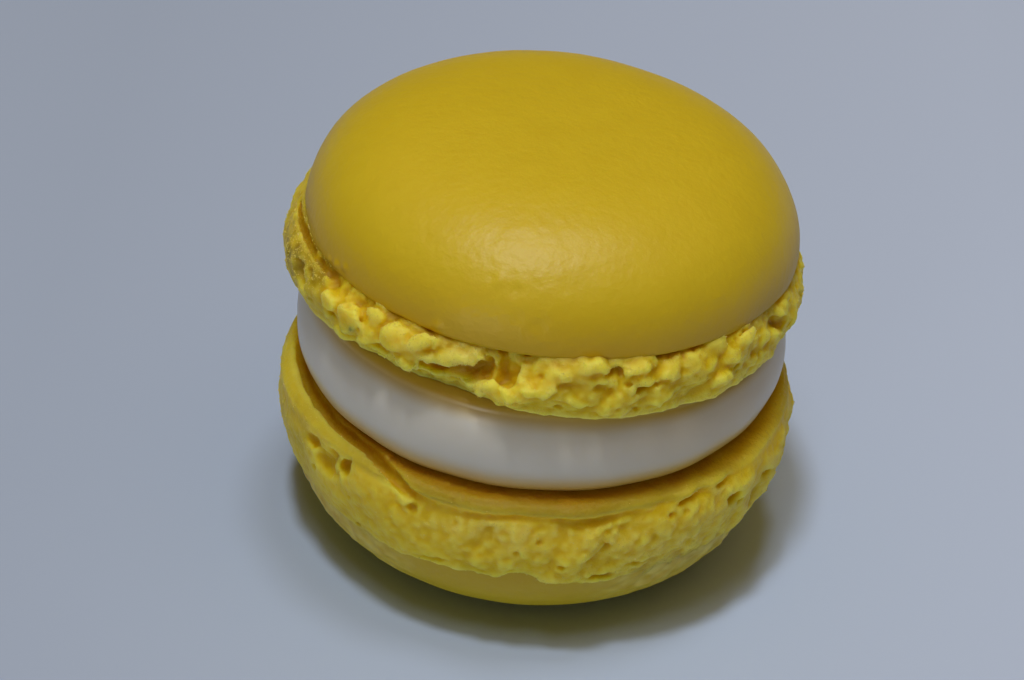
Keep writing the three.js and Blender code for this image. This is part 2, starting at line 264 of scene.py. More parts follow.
class RingSpace:
    """A ring of space round the upright axis, cut into small cells. Its field holds how far each
    point lies outside the solid, and is negative inside."""

    def __init__(self, inner: float, fine: float, outer: float, low: float, high: float,
                 pitch: float) -> None:
        """Lays out the cells between two radii and two heights.

        Args:
            inner, outer: Limits of the radius.
            fine: Radius inside which nothing shows, so that the cells are four times as deep there.
            low, high: Limits of s.
            pitch: Side of a cell; round the ring it is met at the outer radius.
        """
        self.pitch = pitch
        self.radii = np.append(np.arange(inner, fine, 4.0 * pitch), np.arange(fine, outer + pitch, pitch))
        self.sides = int(math.tau * outer / pitch)
        self.azimuths = np.arange(self.sides) * 360.0 / self.sides
        self.heights = np.arange(low, high + pitch, pitch)
        turns = np.radians(self.azimuths)
        shape = (len(self.radii), self.sides, len(self.heights))
        self.x = np.broadcast_to((self.radii[:, None] * np.cos(turns))[:, :, None], shape)
        self.y = np.broadcast_to((self.radii[:, None] * np.sin(turns))[:, :, None], shape)
        self.z = np.broadcast_to(self.heights, shape)
        self.field = np.ones(shape, np.float32)

    def noise(self, size: float, seed: int, flat: float = 1.0) -> Array:
        """A smooth random field over the whole ring, with lumps of a size in millimetres, which
        are flatter than they are wide by a ratio."""
        return grain(self.x, self.y, self.z * flat, size, seed)

    def blurred(self, reach: int) -> Array:
        """Takes the field, held within some cells' width of zero, as its mean over boxes. On a
        surface it is positive on crests and negative in hollows.

        Args:
            reach: How many cells the boxes reach to every side, and the width that it is held to.

        Returns:
            The means, as shares of that width.
        """
        limit = reach * self.pitch
        mean = np.clip(self.field, -limit, limit)
        for axis in range(3):
            mean = sum(np.roll(mean, step, axis) for step in range(-reach, reach + 1)) / (2 * reach + 1)
        return mean / limit

    def read(self, values: Array, cells: Array) -> Array:
        """Reads a whole-ring array between its points: each value is blended from the eight nearest
        by their shares along each axis.

        Args:
            values: The array.
            cells: Places in cell units, one row each.

        Returns:
            The value at each place.
        """
        low = np.floor(cells).astype(int)
        share = cells - low
        total = np.zeros(len(cells))
        for step in product((0, 1), repeat=3):
            at = low + step
            weight = np.prod(np.where(np.array(step) > 0, share, 1.0 - share), axis=1)
            ring = np.minimum(at[:, 0], len(self.radii) - 1)
            level = np.minimum(at[:, 2], len(self.heights) - 1)
            total += weight * values[ring, at[:, 1] % self.sides, level]
        return total

    def polar(self, cells: Array) -> tuple[Array, Array, Array]:
        """Turns places in cell units to the ring's own measures.

        Args:
            cells: The places, one row each.

        Returns:
            Their radius, azimuth in radians, and s.
        """
        radius = np.interp(cells[:, 0], np.arange(len(self.radii)), self.radii)
        s = np.interp(cells[:, 2], np.arange(len(self.heights)), self.heights)
        return radius, cells[:, 1] * math.tau / self.sides, s

    def shell_points(self, cells: Array) -> Array:
        """Places in cell units as shell points (x, y, s)."""
        radius, turn, s = self.polar(cells)
        return np.stack([radius * np.cos(turn), radius * np.sin(turn), s], -1)

    def near(self, azimuth: float, radius: float, s: float,
             reach: float) -> tuple[tuple, Array, Array, Array]:
        """Finds the cells within reach of a point, and how far each lies from it.

        Args:
            azimuth, radius, s: The point.
            reach: How far they reach outwards, along the ring and up.

        Returns:
            Index arrays for the field, and the distances outwards, along the ring and up.
        """
        steps = math.ceil(math.degrees(reach / radius) / (360.0 / self.sides))
        middle = round(azimuth * self.sides / 360.0)
        around = np.arange(middle - steps, middle + steps + 1)
        rings = np.flatnonzero(np.abs(self.radii - radius) <= reach)
        levels = np.flatnonzero(np.abs(self.heights - s) <= reach)
        along = np.radians(around * 360.0 / self.sides - azimuth) * radius
        cells = np.ix_(rings, around % self.sides, levels)
        out = (self.radii[rings] - radius)[:, None, None]
        return cells, out, along[None, :, None], (self.heights[levels] - s)[None, None, :]

    def corner(self, step: tuple[int, int, int]) -> Array:
        """Takes the field at one corner of every cell, the cells closing round the ring.

        Args:
            step: Which corner: 0 or 1 along each axis.

        Returns:
            The field there, one value for each cell.
        """
        shifted = np.roll(self.field, -step[1], axis=1)
        last_ring = len(self.radii) - 1 + step[0]
        last_level = len(self.heights) - 1 + step[2]
        return shifted[step[0]:last_ring, :, step[2]:last_level]

    def surface(self) -> tuple[Array, Array, Array]:
        """Finds the surface where the field is zero. A cell that the surface passes through gets one
        corner, at the mean of the places where its edges cross zero, and each such edge gets a
        quad that joins the four cells round it.

        Returns:
            The corners as ring, azimuth and level in cell units, the quads, and the number of
            each cell's corner, -1 where it has none.
        """
        steps = list(product((0, 1), repeat=3))
        inside = self.field < 0
        count = np.zeros([len(self.radii) - 1, self.sides, len(self.heights) - 1], np.int8)
        for step in steps:
            count += self.corner(step) < 0
        active = (count > 0) & (count < 8)
        place = np.argwhere(active)
        values = {step: self.corner(step)[active] for step in steps}
        total = np.zeros((len(place), 3))
        hits = np.zeros(len(place))
        for axis in range(3):
            for step in (s for s in steps if s[axis] == 0):
                far = tuple(1 if i == axis else step[i] for i in range(3))
                a, b = values[step], values[far]
                crossed = (a < 0) != (b < 0)
                share = np.where(crossed, a / np.where(crossed, a - b, 1.0), 0.0)
                spot = np.array(step, float) + np.eye(3)[axis] * share[:, None]
                total += spot * crossed[:, None]
                hits += crossed
        number = np.full(active.shape, -1, np.int64)
        number[active] = np.arange(len(place))
        quads = [self.quads(axis, inside, number) for axis in range(3)]
        return place + total / hits[:, None], np.concatenate(quads), number

    def quads(self, axis: int, inside: Array, number: Array) -> Array:
        """Makes the quads across the cell edges along one axis that cross the surface. Each joins the
        corners of the four cells round its edge, and faces outwards.

        Args:
            axis: The axis.
            inside: Whether each point of the ring lies inside the solid.
            number: Number of each cell's corner.

        Returns:
            Corner numbers of each quad.
        """
        ahead = np.roll(inside, -1, axis=1) if axis == 1 else inside
        rings, levels = len(self.radii) - 1, len(self.heights) - 1
        lows = [1, 0, 1]
        lows[axis] = 0
        near = inside[lows[0]:rings, :, lows[2]:levels]
        shift = [1 if axis == 0 else 0, 0, 1 if axis == 2 else 0]
        far = ahead[lows[0] + shift[0]:rings + shift[0], :, lows[2] + shift[2]:levels + shift[2]]
        others = [(axis + 1) % 3, (axis + 2) % 3]
        found = []
        for leaving in (True, False):
            edges = np.argwhere((near & ~far) if leaving else (~near & far)) + [lows[0], 0, lows[2]]
            loop = [(1, 1), (0, 1), (0, 0), (1, 0)] if leaving else [(1, 1), (1, 0), (0, 0), (0, 1)]
            corners = []
            for back_a, back_b in loop:
                cell = edges.copy()
                cell[:, others[0]] -= back_a
                cell[:, others[1]] -= back_b
                cell[:, 1] %= self.sides
                corners.append(number[cell[:, 0], cell[:, 1], cell[:, 2]])
            found.append(np.stack(corners, -1))
        return np.concatenate(found)


# ---- Shells --------------------------------------------------------------------------------------


RING_DEPTH = 2.0  # how far the ring of space of a foot reaches in under what shows
COARSE_DEPTH = 1.3  # the inner part of that, which has deeper cells
CORE_DEPTH = 0.7  # the innermost part, which is full
OUTER_SPARE = 1.1  # room in it outside the foot's radius
END_SPARE = 0.4  # room in it below the base and above the cap
BEAD_BLEND = 0.35  # width over which beads melt into the crust
PIT_BLEND = 0.3  # the same for the rims of bubbles, and for what stands in them
PORE_BLEND = 0.1  # the same for small bubbles
STAMP_SPARE = 0.9  # room round an ellipsoid for its warp and its blend
WARP_SIZES = (1.3, 1.1)  # lump sizes of the two fields that make ellipsoids and furrows uneven
SWELL_SIZE = 1.5  # lump size of the broad swells on a foot
CRUMBS = ((0.75, 0.12, 2), (0.42, 0.17, 3))  # fine crumb: lump size, height and step of the seed
TEAR_SIZE = 2.1  # width of the torn creases' pattern
TEAR_FLATNESS = 1.4  # how much wider than high it is
TEAR_START = 0.22  # where in it a tear starts
LIMIT_SOFT = 0.3  # width over which the skin is held back from its limit
RING_STEP = 0.42  # from one fine ring of the base skin's edge to the next
RUN_OUT_FADE = (0.3, 0.9)  # swelling where the crust starts to run out, and where it is all out
PEEL_S = 12.0  # the s at which a dome's peel is strongest
CURL_ROWS = 14  # rows in the curl at a dome's edge


@dataclass(frozen=True)
class Station:
    """One height of a foot's outline: its inset from the widest radius, the shares of the crags,
    of the wavy limit against the dome and of the uneven edge of the base skin, and the inset
    where the foot runs out over the dome."""

    s: float
    inset: float
    rough: float = 0.0
    ragged: float = 0.0
    lip: float = 0.0
    flush: float = 0.0


@dataclass(frozen=True)
class Swell:
    """A broad bulge or hollow round a foot: how far it fades out and how far it rises."""

    azimuth: float
    reach: float
    rise: float


@dataclass(frozen=True)
class Knob:
    """A rounded lump or dent on a foot: how far it fades out and how far it rises."""

    azimuth: float
    s: float
    spread: float
    rise: float


@dataclass(frozen=True)
class Blob:
    """An uneven ellipsoid on a foot, cut out of it as a burst bubble or added to it as a bead.
    Its middle stands out of the foot's surface by `out`."""

    azimuth: float
    s: float
    wide: float
    tall: float
    deep: float
    roll: float = 0.0
    out: float = 0.0


@dataclass(frozen=True)
class Bend:
    """One place of a furrow: the azimuth, radius and s of its middle and its half widths outwards
    and along s, which are 0 where it ends."""

    azimuth: float
    radius: float
    s: float
    out: float
    up: float


@dataclass(frozen=True)
class Furrow:
    """A furrow that runs round a foot through its bends, and the width over which its rims are
    rounded."""

    blend: float
    bends: tuple[Bend, ...]


@dataclass(frozen=True)
class Spot:
    """A small bump or dent on a dome: its place, how far it fades out and how far it rises."""

    azimuth: float
    radius: float
    s: float
    spread: float
    rise: float

    def middle(self, s: float) -> Array:
        """The point on its upright line at a given s."""
        turn = math.radians(self.azimuth)
        return np.array([self.radius * math.cos(turn), self.radius * math.sin(turn), s])


class Work(Enum):
    """What an ellipsoid does to a foot."""

    CUT = "cut out of it, as a burst bubble"
    ADD = "added to it, as a bead"


@dataclass(frozen=True)
class Lump:
    """A crusty cap on a foot, with its own radius and its rise."""

    azimuth: float
    s: float
    reach: float
    rise: float


@dataclass(frozen=True)
class Crust:
    """Crusty lumps of one size, spread evenly round a foot: how many, the limits of their s, reach
    and rise, how deep the creases between them go, and their own step from the shell's seed."""

    count: int
    low: float
    top: float
    reach: tuple[float, float]
    rise: tuple[float, float]
    crease: float
    step: int

    def lumps(self, seed: int) -> list[Lump]:
        """The lumps of a shell with this seed, drawn one after the other round the foot."""
        dice = Dice(seed + self.step)
        return [Lump(360.0 * (i + dice.roll()) / self.count, dice.between(self.low, self.top),
                     dice.between(*self.reach), dice.between(*self.rise)) for i in range(self.count)]


@dataclass(frozen=True)
class Seat:
    """Where a shell sits: the height of its flat base, whether its crown is down, and its lean."""

    base: float
    crown_down: bool = False
    lean_x: float = 0.0
    lean_y: float = 0.0

    def place(self, points: Array) -> Array:
        """Turns shell points (x, y, s) to points of the macaron: mirrored in the base where the
        crown is down, or else turned by the lean about Y and then about X, and lifted to the base.

        Args:
            points: Shell points, one row each.

        Returns:
            The points of the macaron.
        """
        if self.crown_down:
            return points * [1.0, 1.0, -1.0] + [0.0, 0.0, self.base]
        a, b = math.radians(self.lean_x), math.radians(self.lean_y)
        about_x = np.array([[1, 0, 0], [0, math.cos(a), -math.sin(a)], [0, math.sin(a), math.cos(a)]])
        about_y = np.array([[math.cos(b), 0, math.sin(b)], [0, 1, 0], [-math.sin(b), 0, math.cos(b)]])
        return points @ (about_x @ about_y).T + [0.0, 0.0, self.base]

    def faces(self, faces: Array) -> Array:
        """Faces turned the right way round for a mirrored shell."""
        return faces[:, ::-1] if self.crown_down else faces


@dataclass
class Shell:
    """One meringue shell: a domed skin over a rough foot.

    Attributes:
        name, node, seed: Name of its pieces, the node that they replace, and its random seed.
        seat: Where it sits.
        height, foot_radius, base_radius, crown_flat: Its height, the radius of its foot, of its
            flat base and of the flat spot on its crown.
        dome_radius, dome_edge, dome_power, dome_wave: The dome's widest radius, the s where it
            springs from the foot, how full its shoulder is, and how far its edge waves.
        cap, raggedness: The s where the foot ends inside the dome, and how far its limit waves.
        stations, swells, knobs, crusts: The foot's outline, and the broad bulges, the small bulges
            and the crusty lumps on it.
        lip, edge_out, worn, ripple: The uneven edge of the base skin: its bulges, how far it
        stands out, where it is worn away, which there also lifts its browning and painted
        shade, and the height of its fine rings.
        run_out: Where the foot's crust runs out over the dome.
        furrows, beads, pits, drops: Furrows cut round the foot, lumps added before the bubbles are
            cut, the bubbles, and the walls and crumbs left standing in them.
        scattered, bubbles: Number of burst bubbles at the sides and back, and of pores.
        calm: Azimuth, reach and share of a stretch of the foot that set calmly.
        noise, crumb, torn_deep, hem: How far broad swells, fine crumb and tears move the surface,
            and how far the foot's lowest edge frays.
        joint: Width of the browned crease where the foot meets the dome, darker in its hollows
        as painted shade.
        pale, fringe: Places that are dry (above 0) or painted darker olive as shade (below 0),
        and the same value for the edge of the base with the s at which it ends.
        spots, peel, rim_brown_and_shade: The dome's bumps and dents, its fine peel, and how far up
        from its edge it is browner and darker, partly browning and partly painted shade.
        limit, pitch: The largest radius, and the side of the cells that the foot is worked out in.
        curl_in, curl_down: How far the dome's edge curls inwards and down.
        dome_sides, dome_rows: Number of corners round the dome and from its crown to its edge.
    """

    name: str
    node: str
    seed: int
    seat: Seat
    height: float
    foot_radius: float
    base_radius: float
    crown_flat: float
    dome_radius: float
    dome_edge: float
    dome_power: float
    dome_wave: float
    cap: float
    raggedness: float
    stations: tuple[Station, ...]
    swells: tuple[Swell, ...]
    knobs: tuple[Knob, ...]
    crusts: tuple[Crust, ...]
    lip: tuple[Swell, ...]
    furrows: tuple[Furrow, ...]
    pits: tuple[Blob, ...]
    drops: tuple[Blob, ...]
    bubbles: int
    calm: tuple[float, float, float]
    noise: float
    crumb: float
    torn_deep: float
    joint: float
    pale: tuple[Knob, ...]
    fringe: tuple[float, float]
    # how far up from the dome's edge its browning and painted shade reach
    rim_brown_and_shade: float
    pitch: float
    dome_sides: int
    dome_rows: int
    edge_out: float = 0.0
    worn: tuple[Swell, ...] = ()
    ripple: float = 0.0
    run_out: tuple[Swell, ...] = ()
    beads: tuple[Blob, ...] = ()
    scattered: int = 9
    hem: float = 0.0
    spots: tuple[Spot, ...] = ()
    peel: float = 0.0
    limit: float = 22.05
    curl_in: float = 1.5
    curl_down: float = 0.6

    def build(self) -> list[bpy.types.Object]:
        """Makes the foot and the domed skin of this shell."""
        return [self.foot(), self.dome()]

    # -- the foot's outline

    def along(self, azimuth: Array, other: float) -> Array:
        """Distance round the foot between azimuths, in millimetres."""
        return np.radians(turn_gap(azimuth, other)) * self.foot_radius

    def share(self, name: str, s: Array) -> Array:
        """Carries a value of the stations smoothly from one to the next.

        Args:
            name: Which value.
            s: Where to read it.

        Returns:
            The value at each s.
        """
        places = np.array([station.s for station in self.stations])
        values = np.array([getattr(station, name) for station in self.stations])
        return through(s, places, values)

    def swelling(self, swells: tuple[Swell, ...], azimuth: Array) -> Array:
        """Sum of the bells of some swells at each azimuth."""
        return sum((w.rise * bell(self.along(azimuth, w.azimuth), w.reach) for w in swells),
                   np.zeros(np.shape(azimuth)))

    def bulging(self, knobs: tuple[Knob, ...], azimuth: Array, s: Array) -> Array:
        """Sum of the round bells of some knobs at each azimuth and s."""
        return sum((k.rise * bell(np.hypot(self.along(azimuth, k.azimuth), s - k.s), k.spread)
                    for k in knobs), np.zeros(np.shape(s)))

    def lift(self, crust: Crust, azimuth: Array, s: Array) -> Array:
        """Finds how far a crust lifts the surface: as the highest of its lumps' caps, each of which
        falls with the square of the distance, or else by a crease.

        Args:
            crust: The lumps.
            azimuth, s: Where to find it, arrays of one shape.

        Returns:
            The rise, which is negative in a crease.
        """
        rise = np.full(np.shape(s), -crust.crease)
        for lump in crust.lumps(self.seed):
            away = self.along(azimuth, lump.azimuth) ** 2 + (s - lump.s) ** 2
            rise = np.maximum(rise, lump.rise - (lump.rise + crust.crease) * away / lump.reach**2)
        return rise

    def outline(self, azimuth: Array, s: Array) -> Array:
        """Works out the radius of the foot's skin before bubbles are cut: its radius and swells less
        the inset of the stations, and on that the lip, its rings, the crusts and the knobs by
        their shares.

        Args:
            azimuth, s: Where to find it, arrays of one shape.

        Returns:
            The radius, softly held under the limit.
        """
        level = s - self.share("ragged", s) * self.raggedness * wave(azimuth, self.seed)
        rough = np.clip(self.share("rough", level), 0.0, 1.0)
        out = smooth_step(self.swelling(self.run_out, azimuth), *RUN_OUT_FADE)
        inset = (1.0 - out) * self.share("inset", level) + out * self.share("flush", level)
        body = self.foot_radius + self.swelling(self.swells, azimuth) - inset
        lip_share = np.clip(self.share("lip", s), 0.0, 1.0)
        rings = self.ripple * lip_share * np.sin(math.tau * s / RING_STEP + 3.0 * wave(azimuth, 2))
        large, *finer = (self.lift(crust, azimuth, level) for crust in self.crusts)
        crags = large + sum(finer)
        knobs = self.bulging(self.knobs, azimuth, s)
        skin = body + lip_share * self.swelling(self.lip, azimuth) + rings
        skin = skin + rough * (self.liveliness(azimuth) * crags + knobs)
        over = np.maximum(skin - self.limit + LIMIT_SOFT, 0.0)
        return np.minimum(skin, self.limit - LIMIT_SOFT) + LIMIT_SOFT * np.tanh(over / LIMIT_SOFT)

    def liveliness(self, azimuth: Array) -> Array:
        """Share of the crags that each azimuth has: less where the foot set calmly."""
        middle, reach, share = self.calm
        return 1.0 - share * bell(self.along(azimuth, middle), reach)

    def side_pits(self) -> list[Blob]:
        """Draws burst bubbles round the sides and the back, spread evenly over the turn that is
        clear of the placed ones at the front.

        Returns:
            The bubbles.
        """
        dice = Dice(self.seed + 1)
        start, free = 326.0, 230.0
        top = self.crusts[0].top
        pits = []
        for i in range(self.scattered):
            azimuth = start + free * (i + dice.between(0.2, 0.8)) / self.scattered
            s = dice.between(0.3 * top, 0.85 * top)
            wide, tall = dice.between(1.4, 3.8), dice.between(0.9, 1.7)
            deep, roll = dice.between(0.7, 1.3), dice.between(-35, 35)
            pits.append(Blob(azimuth, s, wide, tall, deep, roll))
        return pits

    def pores(self) -> list[Blob]:
        """Draws small burst bubbles all over the foot; sizes follow a cube, so that many are tiny
        and a few larger.

        Returns:
            The bubbles.
        """
        dice = Dice(self.seed + 2)
        top = self.stations[-2].s
        pores = []
        for i in range(self.bubbles):
            size = 0.22 + 0.5 * dice.roll() ** 3
            pores.append(Blob(360.0 * (i + dice.roll()) / self.bubbles, dice.between(0.4, top),
                              size * dice.between(1.0, 1.9), size, size * dice.between(0.5, 0.9),
                              dice.between(-40, 40)))
        return pores

    # -- the foot's solid

    def stamp(self, space: RingSpace, skin: Array, warp: tuple[Array, Array], blobs: Sequence[Blob],
              work: Work, blend: float) -> None:
        """Cuts ellipsoids out of the foot or adds them to it. The distance to an ellipsoid is taken
        as k (k - 1) / g, with k the length of the offset over the half axes, and g that over their
        squares; the offset is first shifted by the warp, which makes it uneven.

        Args:
            space: The ring that holds the foot.
            skin: Radius of the foot's skin by azimuth and level.
            warp: Two random fields that shift the offsets.
            blobs: The ellipsoids.
            work: What they do to the foot.
            blend: Width over which the rims are rounded.
        """
        for blob in blobs:
            half = np.array([blob.deep, blob.wide / 2.0, blob.tall / 2.0])
            column = round(blob.azimuth * space.sides / 360.0) % space.sides
            level = int(np.clip(np.searchsorted(space.heights, blob.s), 0, len(space.heights) - 1))
            radius = float(skin[column, level]) + blob.out
            cells, out, along, up = space.near(blob.azimuth, radius, blob.s, half.max() + STAMP_SPARE)
            # Small ones are bent less, so that they stay whole.
            bend = min(1.0, half[1:].min() / 0.7)
            along = along + 0.5 * bend * warp[0][cells]
            up = up + 0.45 * bend * warp[1][cells]
            c, d = math.cos(math.radians(blob.roll)), math.sin(math.radians(blob.roll))
            along, up = c * along + d * up, c * up - d * along
            k = np.sqrt((out / half[0]) ** 2 + (along / half[1]) ** 2 + (up / half[2]) ** 2)
            steep = (out / half[0] ** 2) ** 2 + (along / half[1] ** 2) ** 2 + (up / half[2] ** 2) ** 2
            gap = k * (k - 1.0) / np.maximum(np.sqrt(steep), 1e-6)
            if work is Work.ADD:
                space.field[cells] = soft_min(space.field[cells], gap, blend)
            else:
                space.field[cells] = soft_max(space.field[cells], -gap, blend)

    def plough(self, space: RingSpace, warp: tuple[Array, Array], furrow: Furrow) -> None:
        """Cuts a furrow that runs round the foot: an ellipse in each upright section, whose middle
        and half widths change along it. The distance to it is taken as for the ellipsoids.

        Args:
            space: The ring that holds the foot.
            warp: Two random fields that make the furrow uneven.
            furrow: The furrow.
        """
        first = furrow.bends[0].azimuth
        turns = (space.azimuths - first) % 360.0 + first
        places = np.array([bend.azimuth for bend in furrow.bends])
        radius, s, wide, tall = (
            through(turns, places, np.array([getattr(bend, name) for bend in furrow.bends]))
            for name in ("radius", "s", "out", "up"))
        live = np.flatnonzero((turns <= places[-1]) & (wide > 0.05) & (tall > 0.05))
        a, b = wide[live][None, :, None], tall[live][None, :, None]
        out = space.radii[:, None, None] - radius[live][None, :, None] + 0.12 * warp[0][:, live]
        up = space.heights[None, None, :] - s[live][None, :, None] + 0.12 * warp[1][:, live]
        k = np.sqrt((out / a) ** 2 + (up / b) ** 2)
        gap = k * (k - 1.0) / np.maximum(np.sqrt((out / a**2) ** 2 + (up / b**2) ** 2), 1e-6)
        space.field[:, live] = soft_max(space.field[:, live], -gap, furrow.blend)

    def foot(self) -> bpy.types.Object:
        """Makes the porous foot: the level surface of a solid that is bounded by the outline, the
        flat base and a level inside the dome, with beads added, bubbles and furrows cut out, and
        a full core.

        Returns:
            The foot.
        """
        inner = min(self.base_radius, self.dome_radius - self.curl_in) - RING_DEPTH
        space = RingSpace(inner, inner + COARSE_DEPTH, self.foot_radius + OUTER_SPARE,
                          -END_SPARE, self.cap + END_SPARE, self.pitch)
        azimuth, s = np.meshgrid(space.azimuths, space.heights, indexing="ij")
        skin = self.outline(azimuth, s)
        space.field[:] = self.bounded(space, skin)
        # Tears, swells and crumb move only what shows, and most of all where the outline is rough.
        where = smooth_step(space.radii, inner + 0.8, inner + 1.6)[:, None, None]
        rough = np.clip(self.share("rough", space.heights), 0.0, 1.0)[None, None, :]
        torn = where * rough * self.liveliness(space.azimuths)[None, :, None]
        warp = (space.noise(WARP_SIZES[0], self.seed), space.noise(WARP_SIZES[1], self.seed + 1))
        self.stamp(space, skin, warp, self.beads, Work.ADD, BEAD_BLEND)
        tears = np.clip(space.noise(TEAR_SIZE, self.seed + 4, TEAR_FLATNESS) - TEAR_START, 0, 1)
        space.field += self.torn_deep * torn * tears
        space.field -= self.noise * torn * space.noise(SWELL_SIZE, self.seed + 5)
        for furrow in self.furrows:
            self.plough(space, warp, furrow)
        self.stamp(space, skin, warp, (*self.pits, *self.side_pits()), Work.CUT, PIT_BLEND)
        self.stamp(space, skin, warp, self.pores(), Work.CUT, PORE_BLEND)
        self.stamp(space, skin, warp, self.drops, Work.ADD, PIT_BLEND)
        crumb = sum(height * space.noise(size, self.seed + step) for size, height, step in CRUMBS)
        space.field += self.crumb * crumb * (where * (0.12 + 0.38 * rough) + 0.5 * torn)
        space.field[:] = np.maximum(space.field, space.radii[:, None, None] - self.limit)
        core = space.radii[:, None, None] - (inner + CORE_DEPTH)
        core = np.maximum(core, np.maximum(-s, s - self.cap)[None])
        space.field[:] = np.minimum(space.field, core)
        return self.foot_mesh(space, skin)

    def bounded(self, space: RingSpace, skin: Array) -> Array:
        """Works out the foot's solid before anything is cut: inside the skin, over a base whose edge is
        frayed, and under the cap. The gap to the skin is divided by the skin's slope.

        Args:
            space: The ring that holds the foot.
            skin: Radius of the foot's skin by azimuth and level.

        Returns:
            How far each point lies outside it.
        """
        slope_s = np.gradient(skin, space.pitch, axis=1)
        slope_a = np.gradient(skin, space.pitch, axis=0)
        steep = np.clip(np.sqrt(1.0 + slope_s**2 + slope_a**2), 1.0, 3.0)
        gap = (space.radii[:, None, None] - skin[None]) / steep[None]
        frayed = 0.1 + 0.26 * space.noise(2.2, self.seed + 8) + 0.3 * space.noise(0.8, self.seed + 9)
        hem = self.hem * smooth_step(space.radii, 20.0, 20.9)[:, None, None] * frayed
        floor = space.heights[None, None, :] - hem
        return soft_max(soft_max(gap, -floor, 0.3), space.heights[None, None, :] - self.cap, 0.1)

    def ridge(self, azimuth: Array) -> Array:
        """Radius of the uneven edge of the base skin at each azimuth; where it is worn it ends
        further in."""
        worn = 1.5 * self.swelling(self.worn, azimuth)
        return self.base_radius + self.edge_out + self.swelling(self.lip, azimuth) - worn

    def foot_marks(self, space: RingSpace, skin: Array, cells: Array) -> dict[str, Array]:
        """Notes on each corner of the foot what its finish needs to know.

        Args:
            space: The ring that holds the foot.
            skin: Radius of the foot's skin by azimuth and level.
            cells: The corners in cell units.

        Returns:
            By name: `depth` under the skin; `edge` and `hollow`, how far it stands out over its
            near and its wider surroundings; `browned_and_shaded`, how brown it is, with painted
            shade next to the base skin's edge and in the crease's hollows; `pale`, dry above 0 and
            painted darker as shade below; and `sugar`, how thickly sugar lies there.
        """
        radius, turn, s = space.polar(cells)
        azimuth, points = np.degrees(turn), space.shell_points(cells)
        column = np.round(cells[:, 1]).astype(int) % space.sides
        level = np.clip(np.round(cells[:, 2]).astype(int), 0, len(space.heights) - 1)
        depth = np.clip(skin[column, level] - radius, 0.0, 3.0)
        edge, hollow = (space.read(space.blurred(reach), cells) for reach in (2, 5))
        # Browner inside the base skin's edge, most next to the cream: partly browning, partly painted shade.
        base = smooth_step(self.ridge(azimuth) - radius, 0.0, 1.5) * (1.0 - smooth_step(s, 0.9, 1.5))
        # Browner in the crease under the dome, most in its hollows: partly browning, partly painted shade.
        joint = smooth_step(self.dome_radius + self.joint - radius, 0.0, self.joint)
        joint = joint * smooth_step(s, self.dome_edge - 1.5, self.dome_edge - 0.6)
        joint = joint * (0.3 + 0.7 * smooth_step(-hollow, -0.05, 0.2))
        joint = joint * (0.8 + 0.5 * grain(*points.T, 1.3, self.seed + 15))
        browned_and_shaded = np.clip(np.maximum(base, joint), 0.0, 1.0)
        # Above 0 the crust is dry and paler; below 0 it is painted darker olive as shade.
        pale = self.bulging(self.pale, azimuth, s)
        shown = np.where(pale > 0.0, smooth_step(hollow, -0.15, 0.1), 1.0)
        pale = pale * (0.7 + 0.6 * grain(*points.T, 0.8, self.seed + 11)) * shown
        worn = self.swelling(self.worn, azimuth)
        tone, end = self.fringe
        sugar = (np.abs(pale) + 0.05) * np.maximum(worn, smooth_step(s, end - 0.1, end + 0.5))
        # The base's edge takes the fringe's value: paler above 0, painted shade below 0.
        pale = pale + tone * (1.0 - smooth_step(s, 0.6 * end, end)) * (1.0 - worn)
        return {"depth": depth, "edge": edge, "hollow": hollow, "browned_and_shaded": browned_and_shaded,
                "pale": np.clip(pale, -1.0, 1.0), "sugar": sugar}

    def foot_mesh(self, space: RingSpace, skin: Array) -> bpy.types.Object:
        """Turns the foot's level surface into a closed mesh: its largest piece, with a fan of
        triangles over the hole in the base and in the cap.

        Args:
            space: The ring that holds the foot.
            skin: Radius of the foot's skin by azimuth and level.

        Returns:
            The foot.
        """
        cells, quads, number = space.surface()
        kept = main_piece(len(cells), quads)
        fresh = np.where(kept, np.cumsum(kept) - 1, -1)
        cells, quads = cells[kept], fresh[quads[kept[quads[:, 0]]]]
        number = np.where(number < 0, -1, fresh[number])
        points = space.shell_points(cells)
        marks = self.foot_marks(space, skin, cells)
        first = np.where(number[0] < 0, len(points), number[0]).min(axis=1)
        last = number[0].max(axis=1)
        base, cap = len(points), len(points) + 1
        fans = np.concatenate([
            np.stack([np.full(len(first), base), np.roll(first, -1), first], -1),
            np.stack([np.full(len(last), cap), last, np.roll(last, -1)], -1),
        ])
        points = np.concatenate([points, [[0.0, 0.0, 0.0], [0.0, 0.0, self.cap]]])
        faces = [*self.seat.faces(quads).tolist(), *self.seat.faces(fans).tolist()]
        marks = {mark: np.append(values, [0.0, 0.0]) for mark, values in marks.items()}
        return build_mesh(f"{self.name}_foot", inside_box(self.seat.place(points)), faces, marks)

    # -- the dome

    def dome_profile(self) -> tuple[Array, Array]:
        """Works out the dome's profile. From the crown down, r to the dome's power grows as the square
        of a cosine while the height falls as the sine; at the edge a quarter ellipse curls under.

        Returns:
            The radius and the s of each row.
        """
        turn = np.radians(90.0 * (1.0 - np.linspace(0.0, 1.0, self.dome_rows) ** 0.85))[1:]
        radius = self.dome_radius * np.cos(turn) ** (2.0 / self.dome_power)
        s = self.dome_edge + (self.height - self.dome_edge) * np.sin(turn)
        s = np.where(radius < self.crown_flat, self.height, s)
        curl = np.radians(np.linspace(6.0, 90.0, CURL_ROWS))
        radius = np.append(radius, self.dome_radius - self.curl_in * (1.0 - np.cos(curl)))
        return radius, np.append(s, self.dome_edge - self.curl_down * np.sin(curl))

